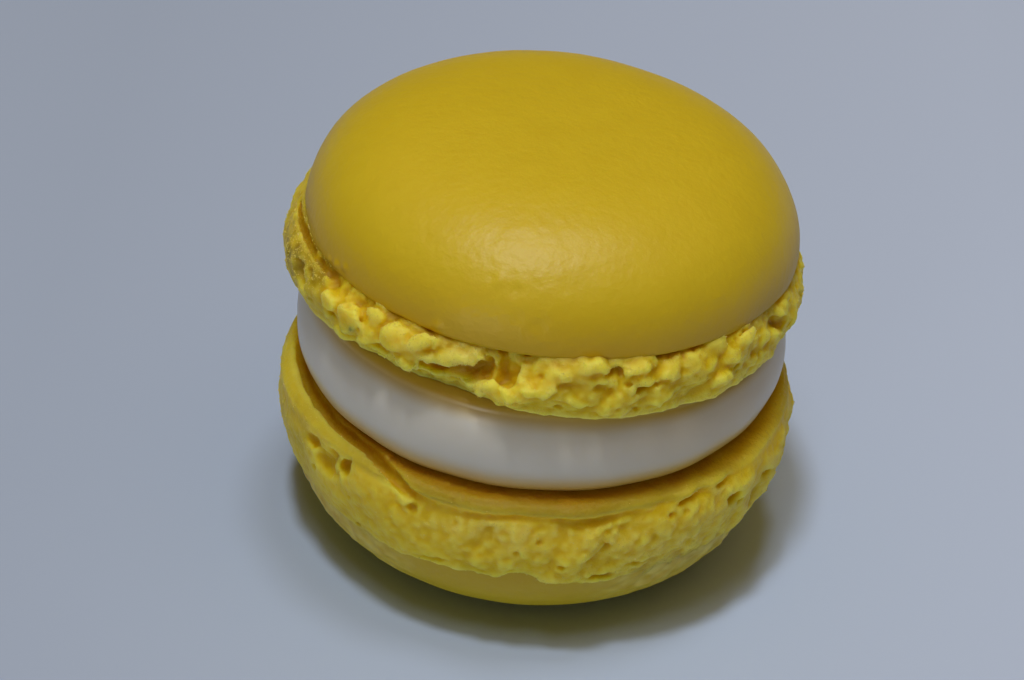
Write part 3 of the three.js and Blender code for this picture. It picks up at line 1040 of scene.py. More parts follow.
    def dome(self) -> bpy.types.Object:
        """Makes the domed skin: its profile carried round the axis, made gently uneven, with a
        point at the crown and a flat floor inside the foot that closes it.

        Returns:
            The dome.
        """
        radius, s = self.dome_profile()
        azimuth = np.arange(self.dome_sides) * 360.0 / self.dome_sides
        skirt = np.clip(1.0 - (s - self.dome_edge) / (self.height - self.dome_edge), 0.0, 1.0) ** 2
        radii = radius[:, None] + skirt[:, None] * self.dome_wave * wave(azimuth, self.seed + 2)
        x, y = radii * np.cos(np.radians(azimuth)), radii * np.sin(np.radians(azimuth))
        z = np.broadcast_to(s[:, None], x.shape)
        uneven = 0.10 * grain(x, y, z, 8.0, self.seed) + 0.03 * grain(x, y, z, 2.6, self.seed + 1)
        z = z + uneven * smooth_step(z, self.dome_edge, self.dome_edge + 4.0)
        z = np.minimum(z, self.height)
        points = self.pitted(np.stack([x, y, z], -1).reshape(-1, 3))
        rows, sides = x.shape
        crown, floor = len(points), len(points) + 1
        side = np.arange(sides)
        last = (rows - 1) * sides + side
        top_fan = np.stack([np.full(sides, crown), side, (side + 1) % sides], -1)
        low_fan = np.stack([np.full(sides, floor), np.roll(last, -1), last], -1)
        points = np.concatenate([points, [[0, 0, self.height], [0, 0, s[-1]]]])
        bands = band_faces(rows, sides)[:, ::-1]
        faces = [*self.seat.faces(bands).tolist(),
                 *self.seat.faces(np.concatenate([top_fan, low_fan])).tolist()]
        # Browner and darker towards the dome's edge: partly browning, partly painted shade.
        rim_brown_and_shade = 1.0 - smooth_step(points[:, 2], self.dome_edge, self.dome_edge + self.rim_brown_and_shade)
        crumbly = self.run_over(points) * (0.5 + 0.8 * grain(*points.T, 0.7, self.seed + 17))
        marks = {"rim_brown_and_shade": rim_brown_and_shade, "crumbly": np.clip(crumbly, 0.0, 1.0)}
        return build_mesh(f"{self.name}_dome", inside_box(self.seat.place(points)), faces, marks)

    def run_over(self, points: Array) -> Array:
        """Finds how much the foot's crust runs on over the dome: by the swelling of its azimuth, and
        fading out up the dome.

        Args:
            points: Dome points, one row each.

        Returns:
            A share from 0 to 1 for each point.
        """
        azimuth = np.degrees(np.arctan2(points[:, 1], points[:, 0]))
        share = smooth_step(self.swelling(self.run_out, azimuth), *RUN_OUT_FADE)
        return share * (1.0 - smooth_step(points[:, 2], self.dome_edge + 4.5, self.dome_edge + 7.0))

    def pitted(self, points: Array) -> Array:
        """Moves dome points outwards by the skin's small bumps and dents, by its fine peel, which
        is strongest round the first spot, and by the crust that runs on over it.

        Args:
            points: Dome points, one row each.

        Returns:
            The moved points.
        """
        outward = points * [1.0, 1.0, 0.0] + (points - [0.0, 0.0, self.dome_edge]) * [0.0, 0.0, 2.2]
        outward = outward / np.maximum(np.linalg.norm(outward, axis=1, keepdims=True), 1e-6)
        rise = np.zeros(len(points))
        for spot in self.spots:
            rise += spot.rise * bell(np.linalg.norm(points - spot.middle(spot.s), axis=1), spot.spread)
        if self.peel:
            zone = bell(np.linalg.norm(points - self.spots[0].middle(PEEL_S), axis=1), 4.5)
            fine = grain(*points.T, 1.1, self.seed + 12) + 0.6 * grain(*points.T, 0.55, self.seed + 13)
            fade = smooth_step(points[:, 2], self.dome_edge, self.dome_edge + 1.0)
            rise += self.peel * (0.25 + 0.75 * zone) * fine * fade
        crust = 0.14 * grain(*points.T, 0.9, self.seed + 14) + 0.08 * grain(*points.T, 0.45, self.seed + 16)
        rise += self.run_over(points) * (crust - 0.06)
        return points + outward * rise[:, None]


UPPER = Shell(
    name="upper", node="top_shell", seed=5, seat=Seat(base=22.95, lean_x=-1.47, lean_y=1.86),
    height=15.29, foot_radius=21.5, base_radius=20.1, crown_flat=0.0,
    dome_radius=20.32, dome_edge=5.9, dome_power=3.3, dome_wave=0.12, dome_sides=580, dome_rows=150,
    cap=6.7, raggedness=0.3, hem=1.0, joint=0.9, rim_brown_and_shade=5.5, peel=0.03, pitch=0.163,
    noise=0.12, crumb=0.75, torn_deep=0.45, bubbles=90, fringe=(0.35, 0.8),
    crusts=(
        Crust(120, 0.3, 5.42, (1.5, 2.9), (-0.15, 0.22), crease=0.28, step=0),
        Crust(380, 0.1, 7.1, (0.8, 1.5), (-0.1, 0.26), crease=0.21, step=6),
        Crust(1500, 0.1, 7.1, (0.35, 0.75), (-0.02, 0.1), crease=0.08, step=7),
    ),
    stations=(
        Station(0.0, 1.4, 0.1, lip=1.0), Station(0.12, 0.9, 0.3, lip=1.0),
        Station(0.55, 0.58, 0.7, lip=1.0), Station(1.2, 0.32, 1.0, lip=0.7),
        Station(1.95, 0.13, 1.0, lip=0.2), Station(2.7, 0.02, 1.0), Station(3.4, 0.06, 1.0),
        Station(4.1, 0.2, 1.0, 0.3), Station(4.7, 0.4, 1.0, 0.6), Station(5.2, 0.65, 0.9, 1.0),
        Station(5.6, 0.95, 0.7, 1.0), Station(5.95, 1.4, 0.4, 1.0), Station(6.4, 2.1, 0.15, 0.7),
        Station(7.1, 2.5, 0.0, 0.0),
    ),
    swells=(Swell(203, 8, 0.35), Swell(345, 10, -0.35), Swell(231, 7, -0.35), Swell(290, 12, -0.2)),
    beads=(
        Blob(218.0, 3.9, 2.0, 1.8, 0.9, 0, -0.3), Blob(225.1, 3.8, 2.6, 2.4, 1.0, 20, -0.3),
        Blob(230.8, 5.1, 1.8, 1.5, 0.8, 0, -0.3), Blob(237.4, 4.3, 2.6, 2.2, 0.95, -15, -0.3),
        Blob(243.2, 4.9, 2.0, 1.7, 0.85, 0, -0.3), Blob(246.9, 5.1, 1.4, 1.4, 0.8, 0, -0.35),
        Blob(227.6, 5.9, 0.9, 0.8, 0.5, 0, -0.3), Blob(214.4, 4.9, 1.1, 1.6, 0.7, 30, -0.3),
        Blob(210.3, 3.4, 1.3, 1.6, 0.7, 20, -0.35), Blob(222.4, 2.0, 2.0, 1.3, 0.8, 0, -0.3),
        Blob(230.0, 2.9, 1.4, 1.0, 0.7, 0, -0.3), Blob(240.5, 2.6, 1.8, 1.3, 0.8, 0, -0.35),
        Blob(275.1, 4.7, 2.6, 1.5, 0.9, 0, -0.4), Blob(280.5, 5.2, 2.4, 1.3, 0.85, 0, -0.4),
        Blob(291.0, 5.1, 3.0, 1.5, 0.9, 0, -0.4), Blob(297.8, 4.4, 2.0, 1.5, 0.85, 0, -0.4),
        Blob(305.2, 4.3, 2.2, 1.7, 0.85, 0, -0.35), Blob(312.9, 5.2, 2.0, 1.5, 0.8, 20, -0.35),
        Blob(320.5, 4.9, 2.6, 1.7, 0.9, 20, -0.35), Blob(270.6, 3.2, 2.4, 1.2, 0.8, 0, -0.3),
        Blob(287.4, 2.2, 3.0, 1.2, 0.8, 0, -0.35), Blob(296.5, 1.9, 2.2, 1.3, 0.8, 0, -0.35),
        Blob(278.0, 2.4, 2.4, 1.2, 0.8, 0, -0.35), Blob(313.0, 2.4, 2.4, 1.5, 0.85, 10, -0.35),
        Blob(329.0, 3.4, 2.2, 1.6, 0.85, 0, -0.35),
    ),
    lip=(Swell(233, 7, -1.2), Swell(253, 4, -0.9)),
    calm=(192.0, 7.0, 0.7),
    furrows=(
        Furrow(0.25, (
            Bend(180, 20.7, 5.7, 0.0, 0.0), Bend(190, 20.65, 5.7, 0.2, 0.5),
            Bend(200, 20.65, 5.7, 0.28, 0.6), Bend(210, 20.65, 5.7, 0.35, 0.6),
            Bend(217, 20.65, 5.7, 0.35, 0.55), Bend(224, 20.6, 5.8, 0.2, 0.4),
            Bend(231, 20.6, 5.8, 0.22, 0.4), Bend(238, 20.65, 5.8, 0.35, 0.5),
            Bend(244, 20.65, 5.8, 0.3, 0.45), Bend(250, 20.6, 5.9, 0.2, 0.35),
            Bend(255, 20.5, 6.0, 0.0, 0.0),
        )),
        Furrow(0.25, (
            Bend(314, 20.6, 5.6, 0.0, 0.0), Bend(321, 20.6, 5.5, 0.15, 0.35),
            Bend(332, 20.6, 5.5, 0.15, 0.4), Bend(341, 20.6, 5.6, 0.0, 0.0),
        )),
    ),
    knobs=(
        Knob(195, 5.1, 2.0, 0.25), Knob(206, 5.0, 1.8, 0.25), Knob(217, 4.2, 0.9, 0.35),
        Knob(223, 4.5, 1.1, 0.5), Knob(228.5, 3.3, 0.9, 0.45), Knob(232, 4.6, 1.1, 0.5),
        Knob(236.5, 3.6, 0.9, 0.35), Knob(240, 4.9, 1.1, 0.6), Knob(246, 5.3, 1.1, 0.6),
        Knob(243, 3.6, 0.9, 0.3), Knob(264, 1.3, 1.4, 0.45), Knob(272, 4.9, 1.1, 0.4),
        Knob(280, 5.1, 1.0, 0.45), Knob(292, 5.0, 1.1, 0.45), Knob(318, 4.6, 1.3, 0.4),
        Knob(266.5, 5.4, 1.0, -0.7), Knob(261.5, 5.2, 0.9, -0.6), Knob(216.5, 4.9, 0.35, -0.5),
        Knob(220.5, 5.2, 0.4, -0.6), Knob(225.5, 5.4, 0.4, -0.5), Knob(236, 5.7, 0.45, -0.5),
        Knob(243.5, 5.6, 0.45, -0.5), Knob(249, 5.8, 0.4, -0.5), Knob(299, 5.6, 0.45, -0.5),
        Knob(305, 5.6, 0.5, -0.5),
    ),
    pits=(
        Blob(204.6, 3.5, 3.2, 1.4, 1.0, -25), Blob(218.5, 3.2, 1.2, 0.7, 0.6),
        Blob(233.4, 2.6, 1.6, 1.3, 1.0, -8), Blob(231, 1.4, 2.6, 1.0, 0.9, -8),
        Blob(248.5, 2.7, 4.4, 1.9, 2.2, 10), Blob(254.5, 3.0, 4.2, 2.3, 2.5, 15),
        Blob(257.8, 3.9, 1.6, 1.9, 1.9, 30), Blob(251.5, 1.5, 3.4, 0.6, 1.0, 8),
        Blob(263.0, 3.9, 2.3, 2.3, 1.1, 20), Blob(263.8, 5.3, 3.0, 1.4, 0.8),
        Blob(285.9, 4.7, 1.4, 1.0, 0.7), Blob(283.1, 3.6, 1.8, 0.7, 0.4), Blob(275.4, 3.6, 1.4, 0.7, 0.4),
        Blob(274.7, 1.3, 0.8, 0.5, 0.5), Blob(293.6, 3.3, 2.4, 0.7, 0.55), Blob(300, 5.7, 1.6, 0.8, 0.9),
        Blob(307, 5.6, 1.5, 0.7, 0.8),
    ),
    drops=(
        Blob(264.9, 5.1, 1.1, 3.4, 0.7, 0, -0.45), Blob(250.7, 5.9, 1.0, 1.0, 0.5, 0, -0.2),
        Blob(247.4, 6.1, 0.6, 0.6, 0.35, 0, -0.3), Blob(260.7, 5.8, 0.8, 0.8, 0.4, 0, -0.5),
        Blob(252.5, 4.5, 3.6, 0.7, 0.6, 8, -0.25), Blob(286.4, 4.4, 0.35, 1.0, 0.35, 0, -0.45),
        Blob(257.8, 1.8, 0.8, 0.7, 0.4, 0, 0.0), Blob(268, 3.1, 1.6, 0.9, 0.7, 0, -0.3),
    ),
    # Knobs above 0 are dry crust; those below 0 are painted shade.
    pale=(
        Knob(254, 4.5, 1.2, 0.9), Knob(250.5, 4.4, 0.9, 0.7), Knob(257.8, 1.8, 0.5, 1.0),
        Knob(275, 5.0, 1.6, 0.6), Knob(232, 4.8, 1.2, 0.4), Knob(244, 4.4, 1.0, 0.5),
        Knob(288, 5.0, 1.2, 0.4), Knob(300, 4.2, 1.2, 0.4), Knob(205, 3.0, 0.8, 0.3),
        Knob(323, 4.8, 1.4, 0.4), Knob(198, 4.6, 3.4, -1.0), Knob(211, 5.6, 1.4, -0.7),
        Knob(216, 4.6, 0.8, 0.4), Knob(223, 4.5, 0.9, 0.5), Knob(240, 4.9, 0.9, 0.5),
        Knob(281, 5.1, 0.9, 0.4),
    ),
    spots=(
        Spot(257.5, 18.4, 10.8, 0.4, 0.11), Spot(255.8, 18.4, 10.9, 0.3, -0.07),
        Spot(261.9, 18.9, 10.3, 0.35, -0.09), Spot(189.2, 4.4, 15.1, 0.25, 0.05),
        Spot(1.7, 8.9, 14.9, 0.25, 0.05), Spot(312.4, 19.5, 9.2, 0.3, 0.05),
        Spot(268.4, 19.9, 8.2, 0.5, -0.06), Spot(214, 20.3, 6.3, 0.3, 0.22),
        Spot(217.5, 20.3, 6.7, 0.25, 0.18), Spot(211, 20.3, 6.2, 0.2, 0.15),
        Spot(246, 20.3, 6.3, 0.3, 0.15),
    ),
)

LOWER = Shell(
    name="lower", node="bottom_shell", seed=23, seat=Seat(base=15.63, crown_down=True),
    height=15.63, foot_radius=21.85, base_radius=19.5, crown_flat=8.0, edge_out=1.6, ripple=0.035,
    dome_radius=20.4, dome_edge=6.43, dome_power=4.9, dome_wave=0.1, dome_sides=560, dome_rows=130,
    cap=10.2, raggedness=0.35, joint=0.5, rim_brown_and_shade=8.0, pitch=0.18,
    # A fringe below 0 is painted shade on the base skin's edge.
    noise=0.1, crumb=0.55, torn_deep=0.2, bubbles=30, fringe=(-0.85, 1.5),
    crusts=(
        Crust(120, 0.3, 6.75, (1.5, 2.9), (-0.1, 0.2), crease=0.22, step=0),
        Crust(400, 0.1, 10.4, (0.8, 1.5), (-0.04, 0.15), crease=0.1, step=6),
        Crust(1500, 0.1, 10.4, (0.35, 0.75), (-0.02, 0.06), crease=0.08, step=7),
    ),
    worn=(Swell(200, 8, 0.9), Swell(334, 7, 0.9)),
    stations=(
        Station(0.0, 1.7, lip=0.8, flush=1.7), Station(0.15, 1.42, lip=1.0, flush=1.42),
        Station(0.35, 1.12, lip=1.0, flush=1.12), Station(0.6, 0.82, 0.1, lip=1.0, flush=0.82),
        Station(0.85, 0.6, 0.1, lip=1.0, flush=0.6), Station(1.15, 0.52, 0.3, lip=0.9, flush=0.52),
        Station(1.6, 0.35, 0.7, lip=0.5, flush=0.35), Station(2.2, 0.12, 1.0, flush=0.12),
        Station(3.0, 0.0, 1.0, flush=0.0), Station(4.6, 0.03, 1.0, flush=0.08),
        Station(5.8, 0.12, 1.0, 0.3, flush=0.3), Station(6.9, 0.28, 1.0, 0.8, flush=0.62),
        Station(7.6, 0.42, 0.95, 1.0, flush=0.86), Station(8.0, 0.6, 0.9, 1.0, flush=1.0),
        Station(8.25, 0.95, 0.85, 1.0, flush=1.2), Station(8.45, 1.5, 0.8, 1.0, flush=1.33),
        Station(8.7, 2.3, 0.75, 1.0, flush=1.5), Station(9.1, 2.6, 0.7, 1.0, flush=1.75),
        Station(9.5, 2.6, 0.6, 1.0, flush=2.0), Station(9.9, 2.6, 0.4, 1.0, flush=2.3),
        Station(10.4, 2.6, 0.0, 0.5, flush=2.6),
    ),
    swells=(Swell(171, 5, -0.35), Swell(193, 5, 0.15), Swell(212, 7, -0.35), Swell(292, 9, -0.15)),
    run_out=(Swell(214, 8, 1.3), Swell(318, 8, 1.3), Swell(20, 8, 1.0)),
    lip=(
        Swell(202, 8, 0.6), Swell(262, 8, 0.3), Swell(268.5, 1.0, -0.25), Swell(282, 2, 0.15),
        Swell(297, 3, -0.25), Swell(316, 6, 0.3), Swell(275, 0.9, -0.25), Swell(289, 1.4, -0.2),
        Swell(303, 1.0, -0.3), Swell(307, 1.0, 0.25), Swell(311.5, 0.8, -0.4), Swell(322, 1.0, -0.4),
    ),
    furrows=(
        Furrow(0.2, (
            Bend(176, 20.0, 0.1, 0.0, 0.0), Bend(188, 20.0, 0.1, 0.35, 0.5),
            Bend(205, 20.0, 0.15, 0.48, 0.8), Bend(215, 20.05, 0.2, 0.5, 0.9),
            Bend(226, 20.15, 0.3, 0.5, 0.95), Bend(234, 20.45, 0.6, 0.5, 0.85),
            Bend(240, 21.0, 1.0, 0.5, 0.65), Bend(246, 21.6, 1.55, 0.65, 0.5),
            Bend(252, 21.8, 1.75, 0.6, 0.45), Bend(256, 21.85, 1.95, 0.7, 0.5),
            Bend(261, 21.85, 1.7, 0.75, 0.5), Bend(268, 21.85, 1.5, 0.85, 0.52),
            Bend(275, 21.85, 1.55, 0.9, 0.55), Bend(281, 21.85, 1.9, 1.0, 0.6),
            Bend(287, 21.85, 1.9, 1.15, 0.7), Bend(293, 21.8, 1.6, 1.0, 0.58),
            Bend(297, 21.8, 1.5, 0.8, 0.42), Bend(302, 21.8, 1.3, 0.0, 0.0),
        )),
        Furrow(0.7, (
            Bend(233, 19.8, 0.0, 0.0, 0.0), Bend(242, 19.85, 0.0, 0.4, 0.15),
            Bend(255, 19.9, 0.0, 0.5, 0.2), Bend(270, 19.9, 0.0, 0.5, 0.2),
            Bend(290, 19.9, 0.0, 0.6, 0.25), Bend(305, 20.1, 0.0, 0.85, 0.4),
            Bend(320, 20.2, 0.0, 0.95, 0.45), Bend(345, 20.1, 0.0, 0.75, 0.35),
            Bend(430, 19.95, 0.0, 0.55, 0.25), Bend(530, 19.95, 0.0, 0.5, 0.2),
            Bend(552, 19.9, 0.0, 0.0, 0.0),
        )),
    ),
    calm=(208.0, 9.0, 0.75),
    knobs=(
        Knob(205, 2.2, 1.8, 0.3), Knob(236, 2.8, 1.7, 0.25), Knob(262, 2.6, 1.5, 0.2),
        *(Knob(azimuth, 2.3, 1.5, -0.25) for azimuth in range(246, 295, 8)),
        Knob(302, 2.3, 1.5, -0.2), Knob(276.5, 7.8, 1.1, 0.3),
        Knob(300, 4.4, 1.6, 0.2), Knob(327, 2.4, 1.6, 0.3), Knob(332, 5.6, 1.3, -0.55),
        Knob(338, 3.4, 1.2, 0.35), Knob(208, 5.3, 1.2, -0.45), Knob(269.5, 7.9, 0.9, -0.6),
        Knob(258, 5.0, 1.3, -0.2), Knob(290, 4.6, 1.2, -0.15),
    ),
    pits=(
        Blob(214.5, 2.2, 2.4, 1.2, 0.6, -20), Blob(220.2, 3.2, 3.2, 2.6, 0.9, -15),
        Blob(226.2, 2.2, 1.7, 1.7, 1.2, 20), Blob(222.3, 1.8, 1.6, 1.2, 0.7, 10),
        Blob(244.5, 2.6, 1.1, 1.0, 0.7), Blob(269.4, 7.9, 3.4, 1.0, 0.9),
        Blob(308.5, 1.5, 3.0, 0.7, 0.7, -5), Blob(318, 1.3, 2.2, 0.6, 0.6),
        Blob(321, 3.4, 1.8, 1.7, 1.1, 15), Blob(303.5, 2.3, 0.6, 0.5, 0.4), Blob(307, 2.4, 0.5, 0.4, 0.4),
        Blob(273.6, 3.6, 0.55, 0.5, 0.45), Blob(268.8, 4.7, 0.5, 0.4, 0.4),
        Blob(278.8, 6.1, 0.55, 0.45, 0.4), Blob(284.8, 5.6, 0.5, 0.45, 0.4),
        Blob(288.5, 4.3, 0.5, 0.45, 0.4), Blob(227.8, 1.3, 0.4, 0.4, 0.4),
        Blob(289, 7.8, 3.4, 0.6, 0.5, 5), Blob(297, 6.9, 2.6, 0.5, 0.4, 12),
        Blob(250, 7.3, 3.0, 0.5, 0.4, -15),
    ),
    drops=(Blob(223.2, 2.7, 0.5, 2.6, 0.5, 10, -0.7), Blob(277, 8.7, 3.4, 1.8, 0.6, 0, -0.55)),
    # Knobs above 0 are dry crust; those below 0 are painted shade.
    pale=(
        Knob(257, 3.1, 1.0, 0.9), Knob(263, 3.0, 1.1, 1.0), Knob(270, 2.9, 1.0, 0.9),
        Knob(277, 3.0, 1.0, 0.6), Knob(300, 6.6, 2.2, 0.7), Knob(308, 5.6, 1.8, 0.6),
        Knob(294, 3.2, 1.4, 0.4), Knob(247, 3.4, 1.0, 0.4), Knob(215, 4.5, 1.4, 0.3),
        Knob(242, 8.0, 1.2, 0.3), Knob(316, 2.4, 0.9, 0.6), Knob(276, 7.8, 1.2, 0.4),
        Knob(205, 2.0, 3.0, -0.35), Knob(252, 3.6, 1.0, 0.4), Knob(285, 3.4, 1.0, 0.4),
    ),
)


# ---- Cream ---------------------------------------------------------------------------------------


@dataclass
class Cream:
    """The thick disc of buttercream, pressed between the two flat bases.

    Attributes:
        radius, shares, insets: Its widest radius, and its insets at these shares of its height.
        wobble, sunk: How far its side waves, and how far it reaches into the shells.
        shade_low, shade_high: Shares of the height over which the painted yellow shade and
            reflected light next to the shells fade at its foot and come back at its top.
        side_shade, side_shade_azimuth, side_shade_spread: How strongly painted shade lies at
            one side, the azimuth of that side, and the degrees over which this fades.
        sides, rows: Number of corners round it and of its levels.
    """

    radius: float = 20.45
    shares: tuple[float, ...] = (0.0, 0.06, 0.2, 0.45, 0.72, 0.9, 0.97, 1.0)
    insets: tuple[float, ...] = (1.4, 0.9, 0.32, 0.0, 0.26, 0.82, 1.2, 1.7)
    wobble: float = 0.12
    sunk: float = 0.12
    # shares of its height over which the painted yellow shade and reflected light fade and return
    shade_low: tuple[float, float] = (0.0, 0.38)
    shade_high: tuple[float, float] = (0.74, 0.97)
    # painted shade at one side: its strength, azimuth and spread
    side_shade: float = 0.3
    side_shade_azimuth: float = 322.0
    side_shade_spread: float = 24.0
    sides: int = 480
    rows: int = 90

    def build(self) -> bpy.types.Object:
        """Makes the disc: each level is a wavy circle whose inset follows a curve of the height,
        and its top lies along the leaning upper shell.

        Returns:
            The disc.
        """
        share = np.linspace(0.0, 1.0, self.rows)
        azimuth = np.arange(self.sides) * 360.0 / self.sides
        inset = through(share, np.array(self.shares), np.array(self.insets))[:, None]
        radius = self.radius - inset + self.wobble * wave(azimuth, 1)
        x, y = radius * np.cos(np.radians(azimuth)), radius * np.sin(np.radians(azimuth))
        floor, ceiling = LOWER.seat.base - self.sunk, UPPER.seat.base + self.sunk
        lean = y * math.tan(math.radians(UPPER.seat.lean_x)) - x * math.tan(math.radians(UPPER.seat.lean_y))
        z = floor + share[:, None] * (ceiling - floor + lean)
        soft = 0.07 * grain(x, y, z, 5.0, 31) + 0.02 * grain(x, y, z, 1.6, 32)
        swell = 1.0 + soft / radius
        points = np.stack([x * swell, y * swell, z], -1).reshape(-1, 3)
        low, high = len(points), len(points) + 1
        side = np.arange(self.sides)
        last = (self.rows - 1) * self.sides + side
        low_fan = np.stack([np.full(self.sides, low), (side + 1) % self.sides, side], -1)
        top_fan = np.stack([np.full(self.sides, high), last, np.roll(last, -1)], -1)
        points = np.concatenate([points, [[0, 0, floor], [0, 0, ceiling]]])
        faces = [*band_faces(self.rows, self.sides).tolist(), *low_fan.tolist(), *top_fan.tolist()]
        # Painted yellow shade and reflected light of the shells near its foot and top, and painted shade at
        # one side.
        near = 1.0 - smooth_step(share, *self.shade_low) + smooth_step(share, *self.shade_high)
        side_shade = self.side_shade * bell(turn_gap(azimuth, self.side_shade_azimuth), self.side_shade_spread)
        shade_and_bounce = np.append(np.clip(near[:, None] + side_shade, 0.0, 1.0).ravel(), [1.0, 1.0])
        return build_mesh("cream_disc", points, faces, {"shade_and_bounce": shade_and_bounce})


# ---- Sugar ---------------------------------------------------------------------------------------


@dataclass
class SugarGrains:
    """Crystals of sugar that crust the feet, one piece for them all. They are thickest where the
    pale mark is strong either way: on dry crust and on painted shade alike."""

    count: int = 3600
    sizes: tuple[float, float] = (0.03, 0.07)
    stretch: tuple[float, float] = (0.7, 1.3)
    sunk: float = 0.3
    seed: int = 41

    def build(self, feet: list[bpy.types.Object]) -> bpy.types.Object:
        """Sets grains on the feet. Each is an octahedron stretched along its axes by different
        amounts and turned at random, a little sunk in the crust.

        Args:
            feet: The feet; their marks say how thickly sugar lies at each corner.

        Returns:
            The joined grains.
        """
        draw = np.random.default_rng(self.seed)
        spots, normals, weights = (np.concatenate(parts) for parts in zip(*map(self.corners, feet)))
        picked = draw.choice(len(spots), self.count, replace=False, p=weights / weights.sum())
        size = draw.uniform(*self.sizes, (self.count, 1, 1)) * draw.uniform(*self.stretch, (self.count, 1, 3))
        turns = np.linalg.qr(draw.normal(size=(self.count, 3, 3)))[0]
        tips = np.concatenate([np.eye(3), -np.eye(3)])
        middle = spots[picked] + normals[picked] * size.mean(axis=(1, 2))[:, None] * (1.0 - 2.0 * self.sunk)
        points = (middle[:, None, :] + (tips * size) @ turns).reshape(-1, 3)
        upper = [[0, 1, 2], [1, 3, 2], [3, 4, 2], [4, 0, 2]]
        sides = np.array([*upper, [1, 0, 5], [3, 1, 5], [4, 3, 5], [0, 4, 5]])
        mirrored = (np.linalg.det(turns) < 0)[:, None, None]
        faces = np.where(mirrored, sides[:, ::-1], sides) + len(tips) * np.arange(self.count)[:, None, None]
        made = build_mesh("sugar_grains", inside_box(points), faces.reshape(-1, 3).tolist(), {})
        made.data.shade_flat()
        return made

    def corners(self, foot: bpy.types.Object) -> tuple[Array, Array, Array]:
        """Reads the corners of a foot. Grains lie near its skin, on crests that aren't browned or
        painted with shade.

        Args:
            foot: The foot.

        Returns:
            Each corner's place in millimetres, its normal, and how likely a grain lies there.
        """
        mesh, size = foot.data, len(foot.data.vertices)
        place, normal = np.empty(3 * size), np.empty(3 * size)
        mesh.vertices.foreach_get("co", place)
        mesh.vertices.foreach_get("normal", normal)
        marks = {}
        for mark in ("depth", "edge", "sugar", "browned_and_shaded"):
            marks[mark] = np.empty(size, np.float32)
            mesh.attributes[mark].data.foreach_get("value", marks[mark])
        open_air = (marks["depth"] < 0.6) & (marks["edge"] > 0.02) & (marks["browned_and_shaded"] < 0.3)
        return place.reshape(-1, 3) / MM, normal.reshape(-1, 3), np.where(open_air, marks["sugar"], 0.0)


# ---- Finishes ------------------------------------------------------------------------------------


# A Mix node has several inputs and outputs of each name, so those for colours go by number.
SHARE, UNDER, OVER, MIXED = 0, 6, 7, 2


def linear(code: str) -> tuple[float, float, float, float]:
    """Turns an sRGB hex colour to linear light: each part is divided by 12.92 near black, and
    follows a power of 2.4 above that.

    Args:
        code: The colour, as in #ffffff.

    Returns:
        Linear red, green, blue and alpha.
    """
    values = [int(code[i:i + 2], 16) / 255.0 for i in (1, 3, 5)]
    parts = [v / 12.92 if v <= 0.04045 else ((v + 0.055) / 1.055) ** 2.4 for v in values]
    return (*parts, 1.0)


def per_metre(size: float) -> float:
    """Scale of a pattern whose lumps are of a size in millimetres, for coordinates in metres."""
    return 1.0 / (size * MM)


def add_node(tree: bpy.types.NodeTree, kind: str, settings: dict, links: dict) -> bpy.types.Node:
    """Adds a shader node.

    Args:
        tree: The material's node tree.
        kind: The node's type name.
        settings: Values by name, of the node where it has that property, or else of its input.
        links: Sockets by the name or number of the input that each one feeds.

    Returns:
        The node.
    """
    node = tree.nodes.new(kind)
    for name, value in settings.items():
        if isinstance(name, str) and hasattr(node, name):
            setattr(node, name, value)
        else:
            node.inputs[name].default_value = value
    for name, socket in links.items():
        tree.links.new(socket, node.inputs[name])
    return node


def bare_material(name: str) -> tuple[bpy.types.Material, bpy.types.NodeTree, bpy.types.NodeSocket]:
    """Makes a material that has no shader yet.

    Args:
        name: The material's name.

    Returns:
        The material, its node tree and a socket with the place on the piece in metres.
    """
    material = bpy.data.materials.new(name)
    material.use_nodes = True
    tree = material.node_tree
    tree.nodes.clear()
    return material, tree, add_node(tree, "ShaderNodeTexCoord", {}, {}).outputs["Object"]


